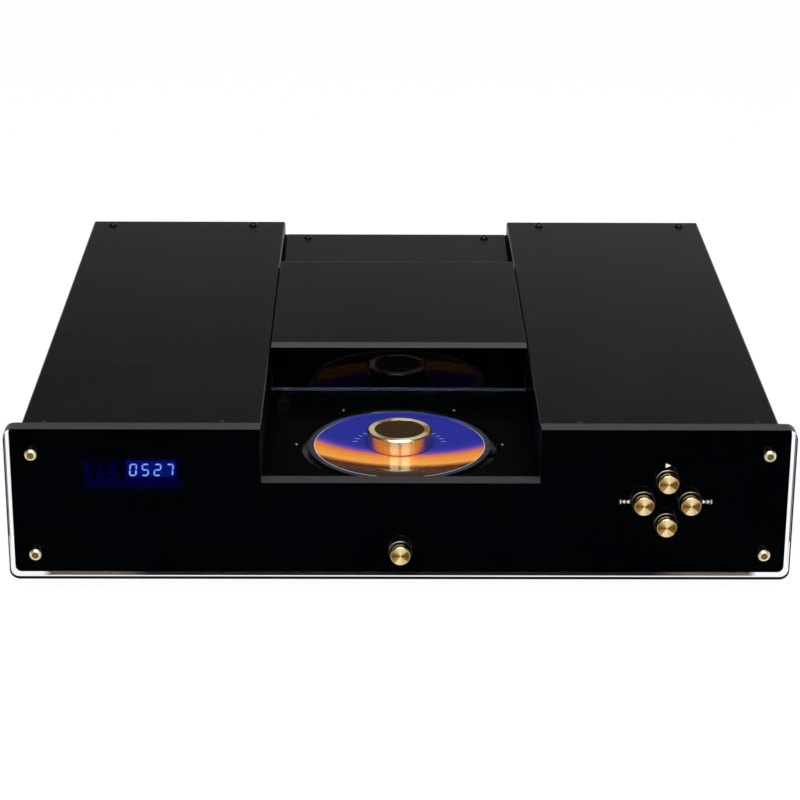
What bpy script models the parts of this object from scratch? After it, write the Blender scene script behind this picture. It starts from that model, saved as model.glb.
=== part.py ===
"""Top-loading disc player with a hand-slid lid and a loose disc clamp.

The player stands on its feet at z = 0, faces -Y and is centred on the origin in plan. Every length is in
metres. Depths are measured backwards from the front panel's face, and drops downwards from its top edge.
"""

import math

import bmesh
import bpy
from mathutils import Matrix, Vector

# Clearances
SEAT_GAP = 0.0003
OVERRUN = 0.001
SEAM_OVERLAP = 0.0005
MERGE_DISTANCE = 0.000001

# Front panel
PANEL_WIDTH = 0.483
PANEL_HEIGHT = 0.100
PANEL_THICK = 0.011
PANEL_CORNER_RADIUS = 0.006
PANEL_GROUND_CLEARANCE = 0.012
CUTOUT_SPARE = 0.0001
CUTOUT_HEIGHT = 0.035

# Casing
PANEL_OVERHANG = 0.009
CHASSIS_DEPTH = 0.431
SHEET = 0.002
COVER_DROP = 0.003
CHANNEL_WIDTH = 0.1706
COVER_BEND_RADIUS = 0.0012
PAN_SIDE_HEIGHT = 0.025
REAR_PANEL_INSET = 0.002
REAR_FLANGE_DEPTH = 0.011
REAR_FLANGE_SIDE_GAP = 0.003
REAR_PROUD = 0.009

# Feet
FOOT_RADIUS = 0.021
FOOT_HEIGHT = 0.0125
FOOT_TOP_RADIUS = 0.018
FOOT_RECESS_RADIUS = 0.007
FOOT_RECESS_DEPTH = 0.005
FOOT_SIDE_INSET = 0.042
FOOT_FRONT_DEPTH = 0.060
FOOT_REAR_INSET = 0.052

# Screws
FACE_SCREW_HEAD_RADIUS = 0.0038
FACE_SCREW_HEAD_HEIGHT = 0.0022
FACE_SCREW_SHANK_RADIUS = 0.002
FACE_SCREW_TAIL = 0.0009
FACE_SCREW_SOCKET_RADIUS = 0.00145
FACE_SCREW_SOCKET_DEPTH = 0.0013
FACE_SCREW_INSET = 0.0165
FACE_SCREW_DROP = 0.017
FACE_SCREW_RISE = 0.0167
COVER_SCREW_HEAD_RADIUS = 0.00325
COVER_SCREW_HEAD_HEIGHT = 0.0019
COVER_SCREW_SHANK_RADIUS = 0.0015
COVER_SCREW_LENGTH = 0.006
COVER_SCREW_OUTER_INSET = 0.015
COVER_SCREW_INNER_INSET = 0.0245
COVER_SCREW_REAR_INSET = 0.0086
CENTRE_SCREW_INSET = 0.0162
SCREW_HOLE_GAP = 0.0003

# Lid and its guides
LID_SIDE_GAP = 0.00065
LID_DEPTH = 0.186
LID_PLATE_THICK = 0.003
LID_SKIRT_THICK = 0.002
FASCIA_THICK = 0.011
FASCIA_FOOT_GAP = 0.0025
FASCIA_REAR_GAP = 0.002
FASCIA_CHAMFER = 0.0004
SKIRT_CLEARANCE = 0.0015
RUNNER_INSET = 0.00865
RUNNER_WIDTH = 0.004
RUNNER_END_INSET = 0.002
GUIDE_BASE_THICK = 0.0021
GUIDE_WALL = 0.0017
GUIDE_WALL_CLEARANCE = 0.002
GUIDE_FRONT_INSET = 0.003
GUIDE_LENGTH = 0.022

# Fixed cover behind the lid
REAR_COVER_DROP = 0.0129
REAR_COVER_SIDE_GAP = 0.0014

# Disc well
FLOOR_DROP = 0.045
FLOOR_THICK = 0.003
FLOOR_HOLE_GAP = 0.003
FLOOR_CHAMFER = 0.001
WELL_FRONT_RIM = 0.0097
WELL_REAR_RIM = 0.011
TRAY_LIP = 0.0097

# Disc, clamp and turntable
DISC_RADIUS = 0.060
DISC_THICK = 0.0012
DISC_BORE_RADIUS = 0.0075
DISC_PROUD = 0.0005
CLAMP_RADIUS = 0.02075
CLAMP_HEIGHT = 0.0104
CLAMP_CHAMFER = 0.0009
CLAMP_INLAY_RADIUS = 0.016
CLAMP_INLAY_DEPTH = 0.0004
CLAMP_RECESS_RADIUS = 0.0082
CLAMP_RECESS_DEPTH = 0.0034
PLATTER_RADIUS = 0.015
PLATTER_THICK = 0.0044
PLATTER_CHAMFER = 0.0008
BOSS_GAP = 0.0003
BOSS_HEIGHT = 0.004
BOSS_CHAMFER = 0.0015
SPINDLE_RADIUS = 0.0015
SPINDLE_END_GAP = 0.0011
RUNNING_GAP = 0.0003

# Transport
PLATTER_PLATE_GAP = 0.0006
PLATE_THICK = 0.003
PLATE_SLOT_RIM = 0.0135
PLATE_FRONT_GAP = 0.0024
PLATE_REAR_GAP = 0.003
PLATE_CORNER_RADIUS = 0.008
SHAFT_HOLE_RADIUS = 0.003
MOTOR_RADIUS = 0.013
MOTOR_HEIGHT = 0.0217
MOTOR_FLOOR = 0.0015
MOUNT_RADIUS = 0.007
MOUNT_WAIST_RADIUS = 0.0045
MOUNT_CAP_HEIGHT = 0.006
FRONT_MOUNT_INSET = 0.013
FRONT_MOUNT_SETBACK = 0.014
REAR_MOUNT_SETBACK = 0.010
SLED_MOTOR_CLEARANCE = 0.002
SLED_TRAVEL = 0.033
SLED_LENGTH = 0.020
SLED_WIDTH = 0.040
SLED_HEIGHT = 0.013
SLED_TOP_GAP = 0.002
LENS_RADIUS = 0.005
LENS_BORE_RADIUS = 0.0028
LENS_BORE_DEPTH = 0.0012
LENS_DISC_GAP = 0.0028
SLOT_SIDE_GAP = 0.0015
SLED_ROD_RADIUS = 0.0015
SLED_ROD_INSET = 0.004
SLED_ROD_DROP_IN_SLED = 0.006
ROD_START_SPARE = 0.008
ROD_END_SPARE = 0.001
LUG_LENGTH = 0.004
LUG_WIDTH = 0.0052
LUG_SPARE = 0.0025

# Sled drive
GEAR_MODULE = 0.0008
GEAR_TEETH = 20
GEAR_THICK = 0.005
GEAR_X = 0.045
GEAR_BACKLASH = 0.0001
GEAR_ARBOR_RADIUS = 0.0012
RACK_BASE = 0.001
RACK_START_SETBACK = 0.0145
RACK_TEETH = 15
RACK_INSET = 0.001
TOOTH_DEDENDUM_SHARE = 1.25
TOOTH_WIDTH_SHARE = 0.36
TOOTH_TIP_SHARE = 0.20
SLED_MOTOR_RADIUS = 0.0075
SLED_MOTOR_WALL = 0.0008
SLED_MOTOR_GAP = 0.0006

# Buttons
BUTTON_RADIUS = 0.006
BUTTON_PROUD = 0.006
BUTTON_STOP_GAP = 0.0003
BUTTON_STEM_RADIUS = 0.003
STEM_END_INSET = 0.0003
BUTTON_EDGE_RADIUS = 0.0007
BUTTON_DISH = 0.0003
BUTTON_HOLE_GAP = 0.0008
STEM_HOLE_GAP = 0.0005
BUTTON_TRAVEL = 0.002
PAD_OFFSET = 0.00455
PAD_CENTRE_DROP = 0.0483
PAD_SPACING = 0.0144
POWER_RISE = 0.0183

# Electrical parts
DISPLAY_OFFSET = 0.00475
DISPLAY_DROP = 0.029
DISPLAY_WINDOW_WIDTH = 0.0625
DISPLAY_WINDOW_HEIGHT = 0.023
DISPLAY_RIM = 0.008
DISPLAY_BODY_DEPTH = 0.010
DISPLAY_WINDOW_GAP = 0.0005
SWITCH_SIZE = 0.006
SWITCH_DEPTH = 0.0025
BUTTON_BOARD_MARGIN = 0.014
BOARD_THICK = 0.0016
BOARD_POST_RADIUS = 0.003
BOARD_POST_HEIGHT = 0.009
BOARD_POST_INSET = 0.006
POWER_SWITCH_WIDTH = 0.018
POWER_SWITCH_LENGTH = 0.030
POWER_SWITCH_HEIGHT = 0.023
LID_SWITCH_WIDTH = 0.008
LID_SWITCH_LENGTH = 0.014
LID_SWITCH_CLEARANCE = 0.0017
LID_SWITCH_INSET = 0.0078
LID_SWITCH_REAR_INSET = 0.010
CORE_RADIUS = 0.055
CORE_HOLE_RADIUS = 0.016
CORE_HEIGHT = 0.048
CORE_ROUNDING = 0.010
CORE_PLACE_SHARE = 0.67
CORE_CLAMP_RADIUS = 0.030
CORE_CLAMP_THICK = 0.0025
CORE_BOLT_RADIUS = 0.004
BAY_BOARD_MARGIN = 0.0146
SERVO_BOARD_SHARES = (0.115, 0.475)
SUPPLY_BOARD_SHARES = (0.545, 0.915)
CONVERTER_BOARD_SHARES = (0.415, 0.915)
CAPACITOR_RADIUS = 0.0125
CAPACITOR_HEIGHT = 0.035
CHIP_HEIGHT = 0.004
CAPACITOR_PLACE_SHARES = ((0.22, 0.25), (0.50, 0.25), (0.78, 0.25), (0.22, 0.52), (0.50, 0.52))
SERVO_CHIP_SHARES = ((0.30, 0.40, 0.22, 0.16), (0.70, 0.62, 0.16, 0.12))
CONVERTER_CHIP_SHARES = ((0.30, 0.30, 0.16, 0.09), (0.70, 0.30, 0.16, 0.09), (0.50, 0.60, 0.30, 0.14))

# Rear connectors
FLANGE_THICK = 0.0022
INLET_OFFSET = 0.006
INLET_Z = 0.052
INLET_FLANGE_WIDTH = 0.050
INLET_FLANGE_HEIGHT = 0.036
INLET_BODY_WIDTH = 0.0285
INLET_BODY_HEIGHT = 0.0325
INLET_BODY_DEPTH = 0.026
INLET_WALL = 0.002
INLET_CAVITY_HEIGHT = 0.0175
INLET_CAVITY_DEPTH = 0.016
INLET_PIN_WIDTH = 0.002
INLET_PIN_HEIGHT = 0.004
INLET_PIN_LENGTH = 0.013
INLET_PIN_SPACING = 0.007
INLET_PIN_RAISE = 0.003
DRAWER_LENGTH = 0.018
XLR_PLACE_SHARES = (-0.32, -0.07)
SOCKET_Z = 0.060
XLR_FLANGE_WIDTH = 0.026
XLR_FLANGE_HEIGHT = 0.031
XLR_BODY_RADIUS = 0.0115
XLR_CAVITY_RADIUS = 0.0095
XLR_CAVITY_DEPTH = 0.014
XLR_BODY_DEPTH = 0.020
XLR_PIN_RADIUS = 0.0012
XLR_PIN_CIRCLE = 0.0062
XLR_PIN_LENGTH = 0.012
RCA_PLACE_SHARE = 0.16
RCA_SPACING = 0.018
RCA_PLATE_WIDTH = 0.014
RCA_PLATE_HEIGHT = 0.034
RCA_SLEEVE_RADIUS = 0.0042
RCA_TAIL_RADIUS = 0.0035
RCA_TAIL_LENGTH = 0.010
RCA_HOLE_RADIUS = 0.0016
RCA_HOLE_DEPTH = 0.008
COAX_PLACE_SHARE = 0.35
COAX_NUT_RADIUS = 0.008
COAX_SLEEVE_RADIUS = 0.0048
CONNECTOR_HOLE_GAP = 0.0003

# Facet counts
FINE = 48
ROUND = 32
SMALL = 20
TINY = 12

# Places that the sizes above settle
WHOLE_DEPTH = BUTTON_PROUD + PANEL_THICK + CHASSIS_DEPTH + REAR_PROUD
FACE_Y = BUTTON_PROUD - WHOLE_DEPTH / 2
CHASSIS_WIDTH = PANEL_WIDTH - 2 * PANEL_OVERHANG
CUTOUT_WIDTH = CHANNEL_WIDTH + 2 * CUTOUT_SPARE
BAY_WIDTH = (CHASSIS_WIDTH - CHANNEL_WIDTH) / 2
BAY_CENTRE_X = (CHASSIS_WIDTH + CHANNEL_WIDTH) / 4
BAY_BOARD_WIDTH = BAY_WIDTH - 2 * BAY_BOARD_MARGIN
DISPLAY_X = -BAY_CENTRE_X - DISPLAY_OFFSET
PAD_CENTRE_X = BAY_CENTRE_X + PAD_OFFSET
FACE_SCREW_X = PANEL_WIDTH / 2 - FACE_SCREW_INSET
LID_WIDTH = CHANNEL_WIDTH - 2 * LID_SIDE_GAP
RUNNER_X = LID_WIDTH / 2 - RUNNER_INSET
REAR_COVER_WIDTH = CHANNEL_WIDTH - 2 * REAR_COVER_SIDE_GAP
CENTRE_SCREW_X = REAR_COVER_WIDTH / 2 - CENTRE_SCREW_INSET
TRAY_WIDTH = CHANNEL_WIDTH + 2 * TRAY_LIP
LID_SWITCH_X = LID_SWITCH_INSET - CHANNEL_WIDTH / 2
SLED_START_X = MOTOR_RADIUS + SLED_MOTOR_CLEARANCE + SLED_LENGTH / 2
SLED_ROD_OFFSET = SLED_WIDTH / 2 - SLED_ROD_INSET
SLED_ROD_START_X = SLED_START_X - SLED_LENGTH / 2 - ROD_START_SPARE - LUG_LENGTH
SLED_ROD_END_X = SLED_START_X + SLED_TRAVEL + SLED_LENGTH / 2 + ROD_END_SPARE + LUG_LENGTH
RACK_START_X = SLED_START_X - RACK_START_SETBACK
SLOT_HALF = LENS_RADIUS + SLOT_SIDE_GAP
SLOT_END_X = SLED_START_X + SLED_TRAVEL + SLOT_HALF
PLATE_WIDTH = 2 * (SLOT_END_X + PLATE_SLOT_RIM)
FRONT_MOUNT_X = PLATE_WIDTH / 2 - FRONT_MOUNT_INSET
INLET_X = -BAY_CENTRE_X - INLET_OFFSET
XLR_XS = [BAY_CENTRE_X + share * BAY_WIDTH for share in XLR_PLACE_SHARES]
RCA_X = BAY_CENTRE_X + RCA_PLACE_SHARE * BAY_WIDTH
COAX_X = BAY_CENTRE_X + COAX_PLACE_SHARE * BAY_WIDTH
CASING_FRONT = PANEL_THICK + SEAT_GAP
CASING_REAR = PANEL_THICK + CHASSIS_DEPTH
TOP_Z = PANEL_GROUND_CLEARANCE + PANEL_HEIGHT
PAN_BOTTOM_Z = FOOT_HEIGHT + SEAT_GAP
PAN_TOP_Z = PAN_BOTTOM_Z + SHEET
COVER_TOP_Z = TOP_Z - COVER_DROP
COVER_UNDER_Z = COVER_TOP_Z - SHEET
INNER_TOP_Z = COVER_UNDER_Z - SEAT_GAP
INNER_HALF_WIDTH = CHASSIS_WIDTH / 2 - SHEET - SEAT_GAP
FLOOR_Z = TOP_Z - FLOOR_DROP
FLOOR_UNDER_Z = FLOOR_Z - FLOOR_THICK
FASCIA_BOTTOM_Z = TOP_Z - CUTOUT_HEIGHT + FASCIA_FOOT_GAP
LID_UNDER_Z = TOP_Z - LID_PLATE_THICK
REAR_COVER_Z = TOP_Z - REAR_COVER_DROP
REAR_COVER_UNDER_Z = REAR_COVER_Z - SHEET
GUIDE_BASE_Z = REAR_COVER_Z + SEAT_GAP + GUIDE_BASE_THICK
SUBPLATE_REAR = CASING_FRONT + SHEET
PAN_FRONT = SUBPLATE_REAR + SEAT_GAP
REAR_PANEL_REAR = CASING_REAR - REAR_PANEL_INSET
REAR_PANEL_FRONT = REAR_PANEL_REAR - SHEET
PAN_REAR = REAR_PANEL_FRONT - SEAT_GAP
FACE_SCREW_LENGTH = SUBPLATE_REAR + SEAT_GAP + FACE_SCREW_TAIL
FLOOR_HOLE_RADIUS = DISC_RADIUS + FLOOR_HOLE_GAP
DISC_CENTRE_DEPTH = SUBPLATE_REAR + WELL_FRONT_RIM + FLOOR_HOLE_RADIUS
WELL_REAR_DEPTH = DISC_CENTRE_DEPTH + FLOOR_HOLE_RADIUS + WELL_REAR_RIM
LID_TRAVEL = WELL_REAR_DEPTH - FASCIA_REAR_GAP - FASCIA_THICK
LID_REAR = LID_TRAVEL + LID_DEPTH
DISC_Z = FLOOR_Z + DISC_PROUD
DISC_UNDER_Z = DISC_Z - DISC_THICK
PLATTER_Z = DISC_UNDER_Z - SEAT_GAP
CLAMP_UNDER_Z = DISC_Z + SEAT_GAP
CLAMP_Z = CLAMP_UNDER_Z + CLAMP_HEIGHT
PLATE_Z = PLATTER_Z - PLATTER_THICK - PLATTER_PLATE_GAP
PLATE_UNDER_Z = PLATE_Z - PLATE_THICK
PLATE_FRONT = PAN_FRONT + PLATE_FRONT_GAP
PLATE_REAR = WELL_REAR_DEPTH - PLATE_REAR_GAP
MOTOR_TOP_Z = PLATE_UNDER_Z - SEAT_GAP
MOTOR_BOTTOM_Z = MOTOR_TOP_Z - MOTOR_HEIGHT
MOTOR_BORE_Z = MOTOR_BOTTOM_Z + MOTOR_FLOOR
SLED_TOP_Z = PLATE_UNDER_Z - SLED_TOP_GAP
SLED_BOTTOM_Z = SLED_TOP_Z - SLED_HEIGHT
SLED_ROD_Z = SLED_TOP_Z - SLED_ROD_DROP_IN_SLED
ROD_BORE_RADIUS = SLED_ROD_RADIUS + RUNNING_GAP
PITCH_RADIUS = GEAR_MODULE * GEAR_TEETH / 2
TOOTH_PITCH = math.pi * GEAR_MODULE
DEDENDUM = GEAR_MODULE * TOOTH_DEDENDUM_SHARE
RACK_ROOT_OFFSET = SLED_WIDTH / 2 + RACK_BASE
RACK_PITCH_OFFSET = RACK_ROOT_OFFSET + DEDENDUM
GEAR_OFFSET = RACK_PITCH_OFFSET + PITCH_RADIUS + GEAR_BACKLASH
GEAR_BOTTOM_Z = SLED_BOTTOM_Z + RACK_INSET
GEAR_TOP_Z = GEAR_BOTTOM_Z + GEAR_THICK
BUTTON_SHOULDER = CASING_FRONT - BUTTON_TRAVEL - BUTTON_STOP_GAP
BUTTON_REAR = SUBPLATE_REAR - STEM_END_INSET
SWITCH_FRONT = BUTTON_REAR + BUTTON_TRAVEL + SEAT_GAP
FLANGE_FRONT = REAR_PANEL_REAR + SEAT_GAP
FLANGE_REAR = FLANGE_FRONT + FLANGE_THICK
PAD_SHARES = {"play_button": (0, 1), "previous_button": (-1, 0), "next_button": (1, 0), "stop_button": (0, -1)}

FINISHES = {
    "black_acrylic": ((0.004, 0.004, 0.010), 0.04, 0.0),
    "powder_coat": ((0.028, 0.028, 0.030), 0.55, 0.0),
    "black_steel": ((0.015, 0.015, 0.016), 0.45, 0.6),
    "zinc_steel": ((0.55, 0.56, 0.58), 0.35, 1.0),
    "gold": ((0.85, 0.60, 0.25), 0.20, 1.0),
    "brass": ((0.83, 0.62, 0.28), 0.22, 1.0),
    "black_plastic": ((0.020, 0.020, 0.022), 0.40, 0.0),
    "rubber": ((0.012, 0.012, 0.012), 0.80, 0.0),
    "printed_disc": ((0.06, 0.06, 0.45), 0.12, 0.2),
    "circuit_board": ((0.02, 0.16, 0.06), 0.45, 0.0),
    "wound_core": ((0.70, 0.55, 0.12), 0.35, 0.0),
    "display_glass": ((0.02, 0.03, 0.16), 0.06, 0.0),
    "nylon": ((0.75, 0.74, 0.70), 0.50, 0.0),
}


def behind(depth):
    """World y of a depth measured backwards from the front panel's face."""
    return FACE_Y + depth


def clear_scene():
    """Remove every object, so that a second run starts afresh."""
    for obj in list(bpy.data.objects):
        bpy.data.objects.remove(obj)


def new_collection(name):
    """Add a collection to the scene."""
    collection = bpy.data.collections.new(name)
    bpy.context.scene.collection.children.link(collection)
    return collection


def new_material(name):
    """Principled material from the table of finishes."""
    colour, roughness, metallic = FINISHES[name]
    material = bpy.data.materials.new(name)
    material.use_nodes = True
    shader = material.node_tree.nodes["Principled BSDF"]
    shader.inputs["Base Color"].default_value = (*colour, 1.0)
    shader.inputs["Roughness"].default_value = roughness
    shader.inputs["Metallic"].default_value = metallic
    return material


class Workshop:
    """Makes the solids, and files them under the player's or the cutters' collection."""

    def __init__(self):
        self.parts = new_collection("disc_player")
        self.cutters = new_collection("cutters")
        self.materials = {name: new_material(name) for name in FINISHES}

    def file(self, obj, finish):
        """Move an object into its collection: a cutter when it has no finish."""
        for collection in list(obj.users_collection):
            collection.objects.unlink(obj)
        if finish is None:
            self.cutters.objects.link(obj)
            obj.hide_render = True
            obj.display_type = "WIRE"
            return obj
        self.parts.objects.link(obj)
        obj.data.materials.clear()
        obj.data.materials.append(self.materials[finish])
        return obj

    def block(self, name, low, high, finish=None, bevel=0.0):
        """Box between two corners, its edges rounded by a bevel where one is given."""
        low, high = Vector(low), Vector(high)
        mesh = bpy.data.meshes.new(name)
        shape = bmesh.new()
        bmesh.ops.create_cube(shape, size=1.0, matrix=Matrix.Diagonal((*(high - low), 1.0)))
        shape.to_mesh(mesh)
        shape.free()
        obj = bpy.data.objects.new(name, mesh)
        obj.location = (low + high) / 2
        bpy.context.scene.collection.objects.link(obj)
        if bevel:
            round_edges(obj, bevel)
        return self.file(obj, finish)

    def turned(self, name, profile, place, finish=None, steps=ROUND, turn=(0.0, 0.0, 0.0), ring=False):
        """Solid of revolution about local Z. The profile of (radius, height) runs down the outer side."""
        mesh = bpy.data.meshes.new(name)
        shape = bmesh.new()
        points = [shape.verts.new((radius, 0.0, height)) for radius, height in profile]
        for first, second in zip(points, points[1:]):
            shape.edges.new((first, second))
        if ring:
            shape.edges.new((points[-1], points[0]))
        shape.to_mesh(mesh)
        shape.free()
        obj = bpy.data.objects.new(name, mesh)
        obj.location = place
        obj.rotation_euler = turn
        bpy.context.scene.collection.objects.link(obj)
        screw = obj.modifiers.new("turn", "SCREW")
        screw.steps = steps
        screw.render_steps = steps
        screw.use_merge_vertices = True
        screw.merge_threshold = MERGE_DISTANCE
        screw.use_smooth_shade = False
        return self.file(obj, finish)

    def rod(self, name, radius, start, end, finish=None, steps=TINY):
        """Plain cylinder between two points."""
        start, end = Vector(start), Vector(end)
        along = end - start
        profile = [(0.0, along.length), (radius, along.length), (radius, 0.0), (0.0, 0.0)]
        turn = along.to_track_quat("Z", "Y").to_euler()
        return self.turned(name, profile, start, finish, steps, turn)

    def slab(self, name, outlines, middle, thick, finish=None, upright=False, bevel=0.0):
        """Flat outlines, the later ones being holes, drawn as a filled curve and made a mesh.

        An upright slab has its outline in world X and Z and its thickness along Y. A flat one has its
        outline in X and Y. Middle is the thickness's mid plane, as world y or z.
        """
        curve = bpy.data.curves.new(name, "CURVE")
        curve.dimensions = "2D"
        curve.fill_mode = "BOTH"
        curve.extrude = thick / 2
        for outline in outlines:
            spline = curve.splines.new("POLY")
            spline.points.add(len(outline) - 1)
            for point, (u, v) in zip(spline.points, outline):
                point.co = (u, v, 0.0, 1.0)
            spline.use_cyclic_u = True
        drawn = bpy.data.objects.new(name + "_outline", curve)
        drawn.location = (0.0, middle, 0.0) if upright else (0.0, 0.0, middle)
        drawn.rotation_euler = (math.pi / 2 if upright else 0.0, 0.0, 0.0)
        bpy.context.scene.collection.objects.link(drawn)
        bpy.context.view_layer.update()
        graph = bpy.context.evaluated_depsgraph_get()
        mesh = bpy.data.meshes.new_from_object(drawn.evaluated_get(graph))
        mesh.name = name
        shape = bmesh.new()
        shape.from_mesh(mesh)
        bmesh.ops.remove_doubles(shape, verts=shape.verts, dist=MERGE_DISTANCE)
        bmesh.ops.recalc_face_normals(shape, faces=shape.faces)
        shape.to_mesh(mesh)
        shape.free()
        obj = bpy.data.objects.new(name, mesh)
        obj.matrix_world = drawn.matrix_world
        bpy.data.objects.remove(drawn)
        bpy.context.scene.collection.objects.link(obj)
        if bevel:
            round_edges(obj, bevel)
        return self.file(obj, finish)


def round_edges(obj, width, segments=1):
    """Bevel every edge that turns sharply."""
    bevel = obj.modifiers.new("edges", "BEVEL")
    bevel.width = width
    bevel.segments = segments
    bevel.limit_method = "ANGLE"
    bevel.angle_limit = math.radians(40)


def combine(obj, other, operation):
    """Boolean of a piece with a cutter or a filler that stays in the cutters' collection."""
    boolean = obj.modifiers.new(operation.lower() + "_" + other.name, "BOOLEAN")
    boolean.operation = operation
    boolean.solver = "EXACT"
    boolean.object = other
    return obj


def cut(obj, *others):
    """Take each cutter out of a piece."""
    for other in others:
        combine(obj, other, "DIFFERENCE")
    return obj


def join(obj, *others):
    """Add each filler to a piece."""
    for other in others:
        combine(obj, other, "UNION")
    return obj


def carry(parent, *children):
    """Parent pieces to what carries them, leaving each where it is."""
    bpy.context.view_layer.update()
    for child in children:
        child.parent = parent
        child.matrix_parent_inverse = parent.matrix_world.inverted()


def rectangle(x_low, v_low, x_high, v_high):
    """Corners of an upright rectangle, anticlockwise."""
    return [(x_low, v_low), (x_high, v_low), (x_high, v_high), (x_low, v_high)]


def circle(x, v, radius, steps):
    """Points round a circle."""
    turns = [2 * math.pi * step / steps for step in range(steps)]
    return [(x + radius * math.cos(turn), v + radius * math.sin(turn)) for turn in turns]


def corner_arc(x, v, radius, start, steps=6):
    """Quarter circle about a point, anticlockwise from a start angle in degrees."""
    turns = [math.radians(start + 90 * step / steps) for step in range(steps + 1)]
    return [(x + radius * math.cos(turn), v + radius * math.sin(turn)) for turn in turns]


def mirrored(points):
    """The same outline on the other side of the middle plane."""
    return [(-x, v) for x, v in reversed(points)]


def button_places():
    """Name, x and z of each front button."""
    places = {"power_button": (0.0, PANEL_GROUND_CLEARANCE + POWER_RISE)}
    for name, (across, up) in PAD_SHARES.items():
        places[name] = (PAD_CENTRE_X + across * PAD_SPACING, TOP_Z - PAD_CENTRE_DROP + up * PAD_SPACING)
    return places


def face_screw_places():
    """x and z of each screw that holds the front panel."""
    heights = (TOP_Z - FACE_SCREW_DROP, PANEL_GROUND_CLEARANCE + FACE_SCREW_RISE)
    return [(side * FACE_SCREW_X, z) for z in heights for side in (-1, 1)]


def cover_screw_places():
    """x of each rear cover screw, from left to right."""
    outer = CHASSIS_WIDTH / 2 - COVER_SCREW_OUTER_INSET
    inner = CHANNEL_WIDTH / 2 + COVER_SCREW_INNER_INSET
    return [-outer, -inner, inner, outer]


def make_front_panel(shop):
    """Thick acrylic front with a notch for the disc well, and round holes for the buttons and screws."""
    half, bottom, radius = PANEL_WIDTH / 2, PANEL_GROUND_CLEARANCE, PANEL_CORNER_RADIUS
    notch_z = TOP_Z - CUTOUT_HEIGHT
    right = corner_arc(half - radius, bottom + radius, radius, 270)
    right += corner_arc(half - radius, TOP_Z - radius, radius, 0)
    right += [(CUTOUT_WIDTH / 2, TOP_Z), (CUTOUT_WIDTH / 2, notch_z)]
    hole = BUTTON_RADIUS + BUTTON_HOLE_GAP
    holes = [circle(x, z, hole, ROUND) for x, z in button_places().values()]
    hole = FACE_SCREW_SHANK_RADIUS + SCREW_HOLE_GAP
    holes += [circle(x, z, hole, TINY) for x, z in face_screw_places()]
    outlines = [right + mirrored(right)] + holes
    return shop.slab("front_panel", outlines, behind(PANEL_THICK / 2), PANEL_THICK, "black_acrylic", upright=True)


def make_subplate(shop):
    """Steel plate behind the acrylic, notched round the well and cut for the display and the stems."""
    notch_x = CHANNEL_WIDTH / 2 + SHEET + SEAT_GAP
    right = [(INNER_HALF_WIDTH, PAN_BOTTOM_Z), (INNER_HALF_WIDTH, INNER_TOP_Z), (notch_x, INNER_TOP_Z)]
    right += [(notch_x, FLOOR_Z)]
    stem = BUTTON_STEM_RADIUS + STEM_HOLE_GAP
    holes = [circle(x, z, stem, TINY) for x, z in button_places().values()]
    shank = FACE_SCREW_SHANK_RADIUS + SCREW_HOLE_GAP
    holes += [circle(x, z, shank, TINY) for x, z in face_screw_places()]
    wide = DISPLAY_WINDOW_WIDTH / 2 + DISPLAY_WINDOW_GAP
    high = DISPLAY_WINDOW_HEIGHT / 2 + DISPLAY_WINDOW_GAP
    middle_z = TOP_Z - DISPLAY_DROP
    holes.append(rectangle(DISPLAY_X - wide, middle_z - high, DISPLAY_X + wide, middle_z + high))
    middle = behind(CASING_FRONT + SHEET / 2)
    return shop.slab("front_subplate", [right + mirrored(right)] + holes, middle, SHEET, "black_steel", upright=True)


def make_base_pan(shop):
    """Bottom sheet folded up along both sides."""
    half = INNER_HALF_WIDTH
    side_z = PAN_BOTTOM_Z + PAN_SIDE_HEIGHT
    right = [(half, PAN_BOTTOM_Z), (half, side_z), (half - SHEET, side_z), (half - SHEET, PAN_TOP_Z)]
    length = PAN_REAR - PAN_FRONT
    middle = behind((PAN_REAR + PAN_FRONT) / 2)
    return shop.slab("base_pan", [right + mirrored(right)], middle, length, "black_steel", upright=True)


def make_side_cover(shop, name, side):
    """Folded cover of one bay: outer wall, top and the wall along the lid's channel."""
    outer, inner = CHASSIS_WIDTH / 2, CHANNEL_WIDTH / 2
    low_z = FLOOR_Z + SEAT_GAP
    points = [(outer - SHEET, PAN_BOTTOM_Z), (outer, PAN_BOTTOM_Z), (outer, COVER_TOP_Z), (inner, COVER_TOP_Z)]
    points += [(inner, low_z), (inner + SHEET, low_z), (inner + SHEET, COVER_UNDER_Z)]
    points += [(outer - SHEET, COVER_UNDER_Z)]
    outline = points if side > 0 else mirrored(points)
    length = CASING_REAR - CASING_FRONT
    middle = behind((CASING_REAR + CASING_FRONT) / 2)
    cover = shop.slab(name, [outline], middle, length, "powder_coat", upright=True)
    round_fold(cover)
    for index, x in enumerate(cover_screw_places()):
        if x * side > 0:
            cut(cover, screw_hole(shop, f"{name}_hole_{index}", x, COVER_TOP_Z))
    return cover


def round_fold(cover):
    """Bevel the cover's two long upper edges, as a bent sheet has."""
    mesh = cover.data
    layer = mesh.attributes.new("bevel_weight_edge", "FLOAT", "EDGE")
    for edge in mesh.edges:
        first, second = (mesh.vertices[index].co for index in edge.vertices)
        runs_back = abs(first.z - second.z) > SHEET and abs(first.y - second.y) < MERGE_DISTANCE
        on_top = abs(first.y - COVER_TOP_Z) < MERGE_DISTANCE
        layer.data[edge.index].value = 1.0 if runs_back and on_top else 0.0
    bevel = cover.modifiers.new("fold", "BEVEL")
    bevel.width = COVER_BEND_RADIUS
    bevel.segments = 3
    bevel.limit_method = "WEIGHT"


def screw_hole(shop, name, x, top_z):
    """Cutter for a cover screw's shank."""
    y = behind(CASING_REAR - COVER_SCREW_REAR_INSET)
    radius = COVER_SCREW_SHANK_RADIUS + SCREW_HOLE_GAP
    bottom_z = top_z - COVER_SCREW_LENGTH - OVERRUN
    return shop.rod(name, radius, (x, y, bottom_z), (x, y, top_z + OVERRUN))


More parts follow.
